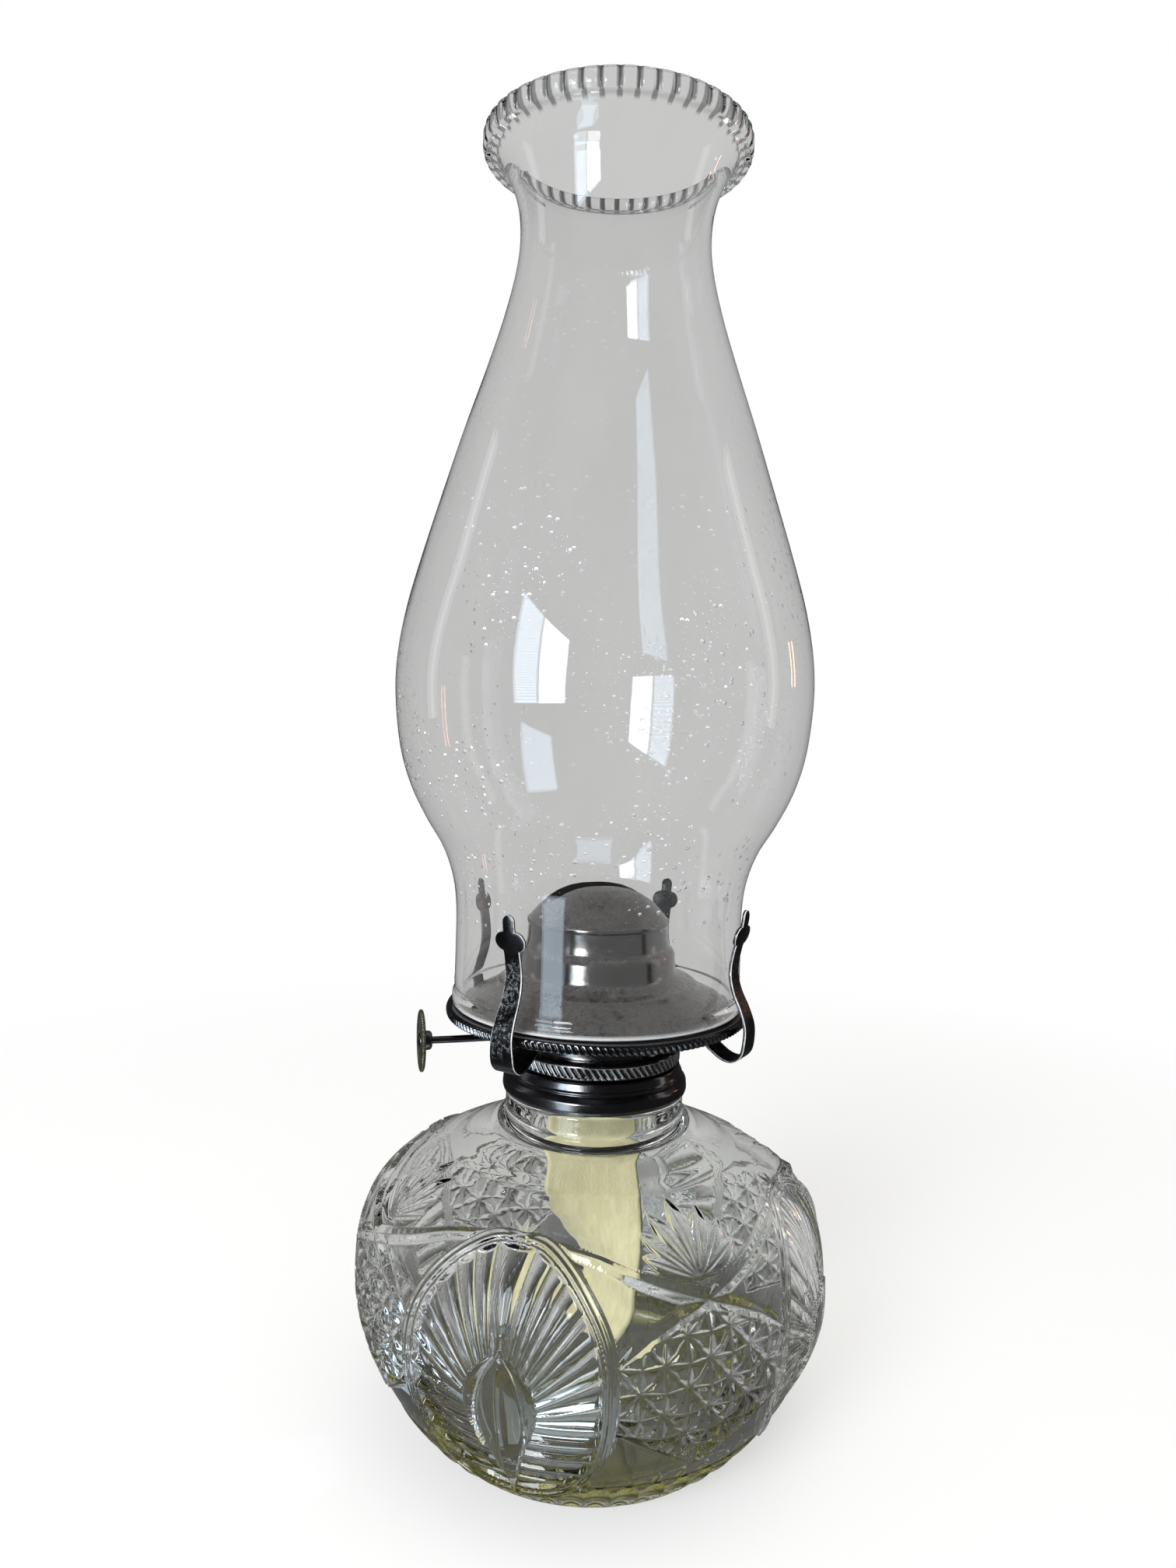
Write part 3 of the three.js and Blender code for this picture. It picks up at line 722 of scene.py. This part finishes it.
def burner_base():
    low, high = 95.3, 99.5
    band = np.linspace(95.9, 98.7, 22)
    outside = [[15.9, low], [21.7, low], [22.15, low + 0.15], *[[GRIP_R, z] for z in band],
               [22.35, 98.95], [22.1, 99.25], [21.7, 99.45], [20.3, high], [20, high - 0.3]]
    inside = [[20, 96.6], [0.5, 96.4], [0, 96.4]]
    bottom = [[0, low], [0.5, low], [15.1, low], [15.1, 88.6], [15.9, 88.6]]
    profile = bottom + outside + inside

    def knurled(radius, height, azimuth):
        within = ease(height, 95.85, 96.3) * (1 - ease(height, 98.2, 98.65)) * (radius > 22.3)
        phase = azimuth * KNURLS / TAU + (height - band[0]) / (band[-1] - band[0]) * KNURL_LEAN
        return radius + within * (0.24 * np.cos(TAU * phase) - 0.2), height, azimuth

    piece = round_piece("grip_ring", profile, 1320, NICKEL, knurled, closed=False, sharp=50)
    wear_and_highlight_crests(piece, band[0], band[-1])
    opening = rounded([[-14.5, -3.2], [14.5, -3.2], [14.5, 3.2], [-14.5, 3.2]], 1.8)
    cut_away(piece, prisms([opening], 94, 98))
    belongs(piece, "burner", "black_nickel", "burner_base")


burner_base()


def burner_neck():
    low, high = 96.7, 106.6
    outside = [[17.6, low], [19.7, low], [19.7, 99.2], [19.3, 100], [19.2, 104.6], [19.5, 105.7],
               [19.7, high]]
    inside = [[19, high], [18.6, 104.6], [18.6, 100], [19, 99.2], [19, low + 0.7], [17.6, low + 0.7]]
    piece = round_piece("neck_shell", rounded(outside + inside, 0.5), 192, NICKEL,
                        lambda r, z, a: (r + waves(a, z, 0.06, 3), z, a))
    hole = prisms([circle(0, 0, 2.1)], -25, -14)
    hole.matrix_world = ONTO_SHAFT
    cut_away(piece, hole)
    belongs(piece, "burner", "black_nickel", "burner_neck")


burner_neck()

RIM_NOTCHES = 150
RIVET_CIRCLE_R = 29.5           # radius of the circle on which the prongs are riveted


def gallery():
    plate = rounded([[17.6, 106.9], [31.6, 106.9], [33.2, 109], [34.6, 109], [34.6, 109.7], [32.6, 109.7],
                     [31.3, 107.6], [17.6, 107.6]], 0.5)
    piece = round_piece("air_plate", plate, 256, NICKEL,
                        lambda r, z, a: (r, z + waves(a, r, 0.1, 21), a))
    holes = []
    for ring_r, count, hole_r in ((21.6, 12, 1.3), (26.0, 16, 1.3), (RIVET_CIRCLE_R, 4, 1.6)):
        for i in range(count):
            turn = TAU * (i + 0.5) / count
            holes.append(circle(ring_r * math.cos(turn), ring_r * math.sin(turn), hole_r))
    cut_away(piece, prisms(holes, 105, 111))
    belongs(piece, "burner", "black_nickel", "gallery")

    rim = rounded([[34.3, 109.05], [38.3, 109.05], [38.5, 108.3], [38.45, 107.5], [38.8, 107.15],
                   [39.3, 107.25], [39.5, 107.9], [39.5, 108.7], [39.1, 109.55], [38.6, 109.75],
                   [34.3, 109.75]], 0.3)

    def notched(radius, height, azimuth):
        edge = ease(radius, 38.7, 39.2) * (1 - ease(height, 108.7, 109.2))
        phase = azimuth * RIM_NOTCHES / TAU + (height - 107) * 0.35
        notch = edge * (0.3 * np.cos(TAU * phase) - 0.27)
        dents = waves(azimuth, height, 0.15, 8), waves(azimuth, radius, 0.15, 9)
        return radius + notch + dents[0], height + dents[1], azimuth

    ring = round_piece("gallery_rim", rim, 1440, NICKEL, notched)
    belongs(ring, "burner", "black_nickel", "gallery")


gallery()


def dome():
    base = CHIMNEY_BASE
    steps = [[35.1, base], [35.1, base + 0.8], [34, base + 1.5], [26.9, 115.1], [26.5, 115.5],
             [26.1, 116.2], [25.4, 116.5], [23.6, 117], [21.4, 118.2], [20.8, 119], [20.6, 120],
             [20.3, 123.8], [19.9, 124.6], [19.4, 125.1], [18.9, 125.9], [18.6, 127.5],
             [18.45, 131.2], [18.8, 131.8], [18.7, 132.5]]
    share = np.array([1, 0.96, 0.9, 0.82, 0.72, 0.6, 0.45, 0.3, 0.15, 0.03])
    cap = np.column_stack([18.2 * share, 132.8 + 9.2 * (1 - share**2.8)])
    outside = rounded(np.vstack([steps, cap]), 0.22, closed=False, steps=3)
    inside = offset(spaced(outside, 90), 0.7)
    inside = inside[(inside[:, 0] > 0.5) & (inside[:, 1] > base + 0.4)]
    profile = np.vstack([[[0, 142]], outside[::-1], [[33.6, base]], inside, [[0, 141.3]]])

    def dented(radius, height, azimuth):
        turn = np.degrees(azimuth)
        away = np.hypot((turn % 360 - 355.5) * 0.45, (height - 115.6) * 1.2)
        dent = np.exp(-away**2 / 2.2) * (radius > 20)
        grow = waves(azimuth, height, 0.2, 17) * ease(radius, 2, 12)
        return radius + grow - 0.5 * dent, height - 0.9 * dent + waves(azimuth, radius, 0.25, 19), azimuth

    piece = round_piece("dome_shell", profile, 320, DUSTY, dented, closed=False)
    turn = np.linspace(-TAU / 4, TAU / 4, 14)
    right = np.column_stack([11 + 4 * np.cos(turn), 4 * np.sin(turn)])
    cut_away(piece, prisms([np.vstack([right, -right])], 135.3, 150))
    piece.data.set_sharp_from_angle(angle=math.radians(50))
    belongs(piece, "burner", "dusty_metal", "deflector_dome")


dome()

# ---------- wick raiser ----------


def onto_shaft(obj, *belonging):
    """Lays a piece built about +Z about the wick raiser's axis."""
    obj.data.transform(ONTO_SHAFT)
    belongs(obj, "raiser", *belonging)


def wick_raiser():
    low, high = SHAFT_LOW[0], SHAFT_HIGH[0]
    rod = [[0, low], [0.05, low], [0.6, low + 0.05], [0.85, low + 0.3], [0.9, low + 0.8],
           *[[0.9, z] for z in np.linspace(low + 2, high - 2, 12)],
           [0.9, high - 0.5], [0.6, high - 0.05], [0.05, high], [0, high]]
    shaft = round_piece("raiser_rod", rod, 32, NICKEL,
                        lambda r, z, a: (r + waves(a, z * 8, 0.03, 2), z, a), closed=False)
    onto_shaft(shaft, "black_nickel", "wick_shaft")

    x = KNOB_X
    face = [[1.95, 0.35], [3.1, 0.35], [3.5, 0.2], [5.9, 0.2], [6.3, 0.5], [7.2, 0.5], [7.65, 0.3]]
    wheel = rounded([[r, x - d] for r, d in face] + [[r, x + d] for r, d in face[::-1]], 0.25)

    def milled(radius, height, azimuth):
        tooth = ease(radius, 7.0, 7.4) * (0.3 * np.abs(np.sin(azimuth * 30)) - 0.3)
        ray = 0.14 * np.sin(azimuth * 30) * ease(radius, 3.2, 4) * (1 - ease(radius, 5.6, 6))
        return radius + tooth, height + ray * np.sign(height - x), azimuth

    knob = round_piece("knob_disc", wheel, 480, KNOB, milled)
    onto_shaft(knob, "knob_metal", "thumb_wheel")

    hub = rounded([[0.95, x - 0.75], [1.25, x - 0.8], [1.9, x - 0.42], [1.9, x + 0.4], [2.4, x + 0.8],
                   [2.35, x + 2.1], [1.9, x + 2.6], [0.95, x + 2.6]], 0.25)
    boss = round_piece("knob_rivet", hub, 64, NICKEL)
    onto_shaft(boss, "black_nickel", "thumb_wheel_hub")


wick_raiser()

# ---------- prongs ----------
PRONG_LINE = [
    [27.4, 106.15], [31.2, 106.05], [34.4, 103.8], [37.6, 101.9], [40.4, 101.7], [42.6, 103.6], [43.3, 107],
    [43.2, 110.5], [41.8, 114.4], [40, 118], [38.95, 121.5], [38.85, 125], [39.6, 129], [40.7, 133],
    [41.4, 136.5], [41.5, 138.8],
]
PRONG_THICK = 0.8
PRONG_EDGE = 0.3               # radius of the strap's edges
PRONG_TURNS = {"back_right": 135, "back_left": 225, "front_left": -45, "front_right": 45}


def prong_half_width(height, start):
    """Half the strap's width: a taper, a pair of round lobes and a narrow round tip."""
    rise = np.clip((height - 106) / (130.2 - 106), 0, 1)
    strap = 3.3 - (1 - (1 - rise) ** 2) * 1.0
    lobes = 1.9 + np.sqrt(np.clip(2.3**2 - (height - 132.5) ** 2, 0, None))
    tip = np.where(height > 137.15, np.sqrt(np.clip(1.65**2 - (height - 137.15) ** 2, 0, None)), 1.65)
    head = np.where(np.abs(height - 132.5) < 2.3, np.maximum(lobes, tip), tip)
    neck = np.where(height < 130.6, np.maximum(strap, np.where(height > 130.21, head, 0)), head)
    foot = np.sqrt(np.clip(1 - np.clip(1 - start / 2.2, 0, 1) ** 2, 0.02, 1))
    return neck * foot


def prong(name, turn):
    middle = smooth(PRONG_LINE, 260)
    along = distances(middle)
    heights = np.where(along < 8, 100.0, middle[:, 1])
    half = np.maximum(prong_half_width(heights, along), 0.12)
    out = sideways(middle)
    corner = np.linspace(0, TAU / 4, 5)
    rows = []
    for m, o, h in zip(middle, out, half):
        edge = min(PRONG_EDGE, 0.9 * h)
        flat = np.linspace(-(h - edge), h - edge, 11)[1:-1]
        round_x, round_d = h - edge + edge * np.sin(corner), PRONG_THICK / 2 - edge + edge * np.cos(corner)
        x = np.concatenate([flat, round_x, round_x[::-1], -flat, -round_x, -round_x[::-1]])
        depth = np.concatenate([np.full(9, PRONG_THICK / 2), round_d, -round_d[::-1],
                                np.full(9, -PRONG_THICK / 2), -round_d, round_d[::-1]])
        depth = depth + 0.25 * ease(m[1], 129, 131) * (1 - (x / h) ** 2)
        rows.append(np.column_stack([x, -(m[0] + o[0] * depth), m[1] + o[1] * depth]))
    n = len(rows[0])
    points = np.vstack(rows)
    faces = ring_faces(len(rows), n) + [list(range(n))[::-1], list(range(len(points) - n, len(points)))]
    piece = mesh_object(f"prong_strap_{name}", points, faces, PRONG, sharp=45)
    piece.data.materials.append(WORN_AND_HIGHLIGHT)   # on the two outer edges: rubbed metal, pale as a painted highlight line
    for polygon in piece.data.polygons:
        if polygon.index % n in (10, 11, n - 4, n - 3) and polygon.index < len(points) - n:
            polygon.material_index = 1
    place = Matrix.Rotation(math.radians(turn), 4, "Z")
    piece.data.transform(place)
    belongs(piece, f"prong_{name}", "prong_metal", f"prong_{name}")

    lowest, highest = box_mm(f"prong_rivet_{name}")
    low, high = lowest[2], highest[2]
    widest = (highest[0] - lowest[0]) / 2
    head = [[0, low], [0.4, low + 0.02], [1.2, low + 0.15], [1.8, low + 0.45], [2.05, low + 0.8],
            [1.3, low + 0.9], [1.28, high - 0.1], [1.1, high], [0.3, high], [0, high]]
    head = [[min(r, widest), z] for r, z in head]
    rivet = round_piece(f"rivet_{name}", head, 40, NICKEL, closed=False)
    rivet.data.transform(place @ Matrix.Translation((0, -RIVET_CIRCLE_R * MM, 0)))
    belongs(rivet, f"prong_{name}", "black_nickel", f"prong_rivet_{name}")


for prong_name, prong_turn in PRONG_TURNS.items():
    prong(prong_name, prong_turn)

# ---------- chimney ----------
CHIMNEY_SIDE = [
    [37.4, 5], [37.3, 16], [37.4, 26], [38.4, 33.5], [41, 41], [45.4, 48.5], [49.5, 57], [52.3, 67],
    [53.6, 80], [53.1, 90.5], [51, 102], [47.4, 115], [42.4, 131], [37.2, 147], [32.2, 161.5],
    [27.9, 175], [25.1, 186.5], [24.2, 195], [24.9, 203], [27.4, 210.6], [30.2, 214.2],
]
CHIMNEY_WALL = 2.0
GROOVE_SHARE = 0.42                # share of a bead's pitch that is groove


def chimney():
    side = smooth(CHIMNEY_SIDE, 170)
    foot = smooth([[36.3, 0], [37.3, 0.15], [37.9, 0.8], [38.0, 1.9], [37.85, 3], [37.45, 3.8],
                   [37.4, 5]], 14)[:-1]
    step = [[30.9, 214.75], [32.2, 214.8], [33.0, 214.95], [33.45, 215.3], [33.75, 215.8]]
    band = [[33.95 + 0.1 * math.sin(math.pi * t), 216.2 + 2.9 * t] for t in np.linspace(0, 1, 9)]
    crown = [[33.8, 219.55], [33.4, 219.85], [32.8, 220], [32.2, 219.9], [31.75, 219.55], [31.6, 219]]
    throat = [[31.4, 217.9], [30.7, 216.6], [29.5, 215.2]]
    wall = offset(side, CHIMNEY_WALL)[:-3][::-1]
    profile = np.vstack([foot, side, step, band, crown, throat, wall, [[35.35, 4], [35.3, 2], [35.5, 0.6]]])

    def blown(radius, height, azimuth):
        lip = ease(height, 214.9, 215.5) * (1 - ease(height, 219.5, 220.05)) * ease(radius, 32.4, 33.3)
        place = azimuth * BEADS / TAU
        from_groove = np.abs(place - np.round(place)) * 2
        groove = 1 - ease(from_groove, 0.05, GROOVE_SHARE)
        pad = 0.15 * (1 - ((from_groove - 1) / 0.7) ** 2).clip(0, 1)
        uneven = waves(azimuth, height, 0.28, 31) * ease(height, 6, 40) * (1 - ease(height, 196, 212))
        radius = radius + uneven + lip * (pad - 0.1 - 0.6 * groove)
        for level, swell in ((211.4, 0.26), (208.4, 0.2), (3.2, 0.14), (6.0, 0.14)):
            radius = radius + swell * np.exp(-((height - level) / 0.5) ** 2)
        return radius, height + CHIMNEY_BASE, azimuth

    piece = round_piece("chimney_body", profile, 768, CHIMNEY_GLASS, blown)
    belongs(piece, "chimney", "chimney_glass", "chimney_glass")


chimney()

# ---------- wick ----------
WICK_WIDTH = 25.0
WICK_THICK = 2.5
STRAIGHT_TO = 66.0              # the wick hangs straight down to this height, then twists
CURL_FROM = 32.4                # its tail curls below this height of the strip before hanging
TWIST = 1.309                   # radians
CURL = 1.35
TWIST_SHIFT = 5.4
STRIP_LOW = 18.2                # the strip's lower end before it curls
CAD_STRIP_LOW = 18.0            # the same of the plainer strip in the CAD frame


def hung(x, y, z):
    """Where a point of the straight strip hangs."""
    share = 1 - ease(z, CURL_FROM, STRAIGHT_TO)
    curled = np.clip(CURL_FROM - z, 0, None) / (CURL_FROM - CAD_STRIP_LOW)
    bend, curl_r = CURL * curled, (CURL_FROM - CAD_STRIP_LOW) / CURL
    out = y * np.cos(bend) - curl_r * (1 - np.cos(bend))
    fall = (y + curl_r) * np.sin(bend)
    cos, sin = np.cos(TWIST * share), np.sin(TWIST * share)
    return np.column_stack([TWIST_SHIFT * share**1.5 + x * cos + out * sin, out * cos - x * sin,
                            np.maximum(z, CURL_FROM) - fall])


def wick():
    """Woven strip: soft ribs, cross threads, soft edges and a twisted, curled tail."""
    rows = np.linspace(STRIP_LOW, WICK_HIGH - 0.3, 460)
    across = np.linspace(-1, 1, 141)
    front = np.column_stack([across, np.ones_like(across)])
    loop = np.vstack([front, -front])
    points = []
    rng = np.random.default_rng(4)
    fray = rng.uniform(-0.3, 0.3, len(loop))
    x, side = loop[:, 0] * WICK_WIDTH / 2, loop[:, 1]
    edge = np.clip(1 - np.abs(loop[:, 0]), 0, 0.06) / 0.06
    for i, z in enumerate(rows):
        thread = 0.05 * np.cos(x * TAU / 1.05) * math.cos(z * TAU / 1.3) + 0.02 * math.cos(z * TAU / 2.9)
        lump = 0.09 * np.sin(x * 0.43 + z * 0.17) * np.sin(z * 0.29 - x * 0.21 + 1)
        rib = 0.008 * np.cos(x * TAU / 1.9) + thread + lump
        y = side * (WICK_THICK / 2 * (0.4 + 0.6 * np.sqrt(edge)) + rib * edge - 0.08)
        points.append(hung(x, y, z + fray * (i == len(rows) - 1)))
    n = len(loop)
    faces = ring_faces(len(rows), n)
    half = n // 2
    last = (len(rows) - 1) * n
    for base, flip in ((0, False), (last, True)):
        for k in range(half - 1):
            quad = [base + k, base + k + 1, base + n - 2 - k, base + n - 1 - k]
            faces.append(quad if flip else quad[::-1])
    strip = mesh_object("wick_strip", np.vstack(points), faces, COTTON)
    belongs(strip, "wick", "cotton", "flat_wick")


wick()

# ---------- finishes of the pieces that stay as they are in the frame ----------
for node, finish in [("wick_tube", DUSTY), ("spur_housing", NICKEL), ("shaft_bearing", NICKEL)] + [
        (f"spur_wheel_{i}", NICKEL) for i in range(1, 5)]:
    frame["nodes"][node].data.materials[0] = finish

# ---------- floor, light and camera ----------
CAMERA_DISTANCE = 0.28757
CAMERA_AZIMUTH = -15.0
CAMERA_HEIGHT = 0.18514
CAMERA_PITCH = 3.54             # degrees downwards
CAMERA_SHIFT = 0.73             # degrees that the lamp's axis stands right of the middle
CAMERA_ROLL = 1.43
SENSOR, LENS = 36, 25.2742857   # millimetres


def direction(azimuth, elevation=0.0):
    a, e = math.radians(azimuth), math.radians(elevation)
    return Vector((math.sin(a) * math.cos(e), -math.cos(a) * math.cos(e), math.sin(e)))


def camera():
    data = bpy.data.cameras.new("camera")
    data.sensor_fit, data.sensor_width, data.lens = "AUTO", SENSOR, LENS
    data.clip_start = 0.01
    obj = put_in_scene("camera", data)
    place = direction(CAMERA_AZIMUTH) * CAMERA_DISTANCE + Vector((0, 0, CAMERA_HEIGHT))
    pitch = math.radians(CAMERA_PITCH)
    forward = -direction(CAMERA_AZIMUTH + CAMERA_SHIFT) * math.cos(pitch) - Vector((0, 0, math.sin(pitch)))
    right = forward.cross(Vector((0, 0, 1))).normalized()
    up = right.cross(forward)
    roll = math.radians(CAMERA_ROLL)
    up, right = up * math.cos(roll) - right * math.sin(roll), right * math.cos(roll) + up * math.sin(roll)
    basis = Matrix((right, up, -forward)).transposed().to_4x4()
    obj.matrix_world = Matrix.Translation(place) @ basis
    bpy.context.scene.camera = obj


camera()

LAMP_MIDDLE = Vector((0, 0, 0.17))


def facing_lamp(azimuth, elevation, distance):
    """The place of something that stands round the lamp and faces its middle."""
    place = LAMP_MIDDLE + direction(azimuth, elevation) * distance
    turn = (LAMP_MIDDLE - place).to_track_quat("-Z", "Y").to_matrix().to_4x4()
    return Matrix.Translation(place) @ turn


WINDOW_AZIMUTH, WINDOW_ELEVATION, WINDOW_DISTANCE = -47.0, 12.0, 1.5
BLIND_LINES = 220.0             # radians per metre of the blind's slats
PATCH_HEIGHT = 0.4
WINDOW_PANES = {                # [across, up] corners in metres, radiance, tint, blind lines
    "left": ([[-0.38, -0.53], [-0.03, -0.53], [-0.03, 0.36], [-0.38, 0.53]], 8.0, (0.72, 0.86, 1.0), 0.4),
    "right": ([[0.0, -0.53], [0.36, -0.53], [0.36, 0.17], [0.0, 0.345]], 16.0, (0.93, 0.97, 1.0), 0.12),
}


def bright_panes(s, corners, place=Matrix.Identity(4)):
    """A stage piece of four-cornered panes that only glass and metal mirror."""
    faces = np.arange(len(corners)).reshape(-1, 4).tolist()
    pane = mesh_object(s.material.name, np.array(corners) / MM, faces, s.material)
    pane.matrix_world = place
    pane.visible_camera = pane.visible_diffuse = pane.visible_shadow = False


def window():
    """Two bright panes. The soft light itself comes from area lights."""
    place = facing_lamp(WINDOW_AZIMUTH, WINDOW_ELEVATION, WINDOW_DISTANCE)
    for name, (corners, radiance, tint, blinds) in WINDOW_PANES.items():
        s = Shader(f"window_{name}")
        slats = s.math("SINE", s.times(s.xyz()["Y"], BLIND_LINES))
        s.shows(s.emission(tint, s.span(slats, -1, 1, radiance * (1 - blinds), radiance)))
        bright_panes(s, [[x, y, 0] for x, y in corners], place)


window()

# The window's light on the table: four-cornered patches of [azimuth, millimetres from the axis].
TABLE_PATCHES = [
    [(-58, 250), (-40, 250), (-41, 700), (-57, 950)],       # mirrored by the upright metal and glass
    [(-35, 66), (-6, 66), (-6, 120), (-35, 120)],           # by the medallion's right half
    [(-90, 66), (-74, 66), (-74, 95), (-90, 95)],           # by its left half
]


def window_on_table():
    s = Shader("window_on_table")
    s.shows(s.emission((0.7, 0.86, 1.0), s.span(s.length(s.coordinates), 0.14, 0.24, 2.0, 4.2)))
    corners = [direction(azimuth) * reach * MM for patch in TABLE_PATCHES for azimuth, reach in patch]
    bright_panes(s, [[x, y, PATCH_HEIGHT * MM] for x, y, _ in corners])


window_on_table()


def area_light(name, azimuth, elevation, distance, size, power, colour, mirrored):
    data = bpy.data.lights.new(name, "AREA")
    data.shape, (data.size, data.size_y) = "RECTANGLE", size
    data.energy, data.color = power, colour
    obj = put_in_scene(name, data)
    obj.matrix_world = facing_lamp(azimuth, elevation, distance)
    if not mirrored:
        obj.visible_glossy = obj.visible_transmission = False


area_light("window_light_left", -52, 16, 1.5, (0.3, 1.1), 24, (0.92, 0.96, 1.0), False)
area_light("window_light_right", -40, 16, 1.5, (0.3, 1.1), 24, (0.92, 0.96, 1.0), False)
area_light("strip_right", 84, 10, 1.5, (0.16, 1.5), 0.75, (1.0, 0.98, 0.95), True)
area_light("strip_left", -118, 10, 1.5, (0.16, 1.5), 0.75, (0.95, 0.97, 1.0), True)
area_light("warm_side", 104, 8, 1.3, (0.03, 0.22), 0.2, (1.0, 0.45, 0.28), True)
area_light("ceiling", 20, 80, 1.6, (1.2, 1.2), 14, (1.0, 0.98, 0.95), False)

BACKDROP = (0.64, 0.64, 0.635)   # what light meets behind the lamp
ROOM = (0.36, 0.36, 0.355)      # behind the camera
CEILING = (0.42, 0.42, 0.415)
MIRRORED = (0.035, 0.035, 0.038)   # what polished surfaces reflect between the lights
TABLE_PAINTED_SHADE = ((0.02, 0.021, 0.02), (0.09, 0.09, 0.086))     # painted shade: the dark glow that the glass shows of the floor under the lamp
SIDES = (-0.35, 0.35)           # where the backdrop turns into the room, as a cosine from the camera's side
CEILING_FROM = (0.62, 0.9)      # where the ceiling starts, as a sine of the height above
TABLE_PAINTED_LIGHT = (0.16, 0.16, 0.16)     # painted light: the brighter glow that polished surfaces reflect of the floor under the lamp
TABLE_FADE = (0.07, 0.22)       # metres from the lamp over which that fades into the backdrop


def world():
    """Pale behind the lamp, darker behind the camera and above, white straight past the lamp."""
    studio = bpy.context.scene.world = bpy.data.worlds.new("studio")
    w = Nodes(studio, "Generated")
    side = w.span(w.toward(w.coordinates, direction(CAMERA_AZIMUTH)), *SIDES)
    above = w.span(w.xyz()["Z"], *CEILING_FROM)
    around = w.mix(above, w.mix(side, BACKDROP, ROOM), CEILING)
    shown = w.mix(w.bounced(), around, MIRRORED)
    w.feed(w.tree.nodes["Background"].inputs["Color"], w.mix(w.ray("Camera"), shown, (1, 1, 1)))


world()


def floor():
    """White to the camera but for the lamp's shadow. To what the glass shows it glows dark under the lamp as
    painted shade, and to what polished surfaces mirror it glows brighter there as painted light.
    """
    points = [[x, y, 0] for x, y in circle(0, 0, 4000, 96)]
    s = Shader("pale_floor", Roughness=0.9)
    s.set("Base Color", s.mix(s.noise(3, 2), (0.72, 0.71, 0.69), (0.76, 0.75, 0.73)))
    reach = s.length(s.coordinates)
    pale = s.blend(s.span(reach, 0.08, 0.5, 0.4, 1), s.bsdf.outputs[0], s.emission((1, 1, 1)))
    cloud = s.span(s.noise(7, 4, 0.6), 0.35, 0.65)
    away = s.span(reach, *TABLE_FADE)
    bearing = s.node("ShaderNodeVectorMath", operation="NORMALIZE")
    s.feed(bearing.inputs[0], s.coordinates)
    side = s.span(s.toward(bearing.outputs[0], direction(CAMERA_AZIMUTH)), *SIDES)
    table = s.mix(away, s.mix(cloud, *TABLE_PAINTED_SHADE), s.mix(side, BACKDROP, ROOM))
    table = s.mix(s.bounced(), table, s.mix(away, TABLE_PAINTED_LIGHT, MIRRORED))
    s.shows(s.blend(s.ray("Camera"), s.emission(table), pale))
    ground = mesh_object("floor", points, [list(range(len(points)))], s.material)
    ground.location.z = -0.0002


floor()

scene = bpy.context.scene
scene.view_settings.view_transform = "Standard"
cycles = scene.cycles
cycles.max_bounces = 24
cycles.transmission_bounces = 20
cycles.glossy_bounces = 8
cycles.transparent_max_bounces = 16
cycles.caustics_reflective = cycles.caustics_refractive = False
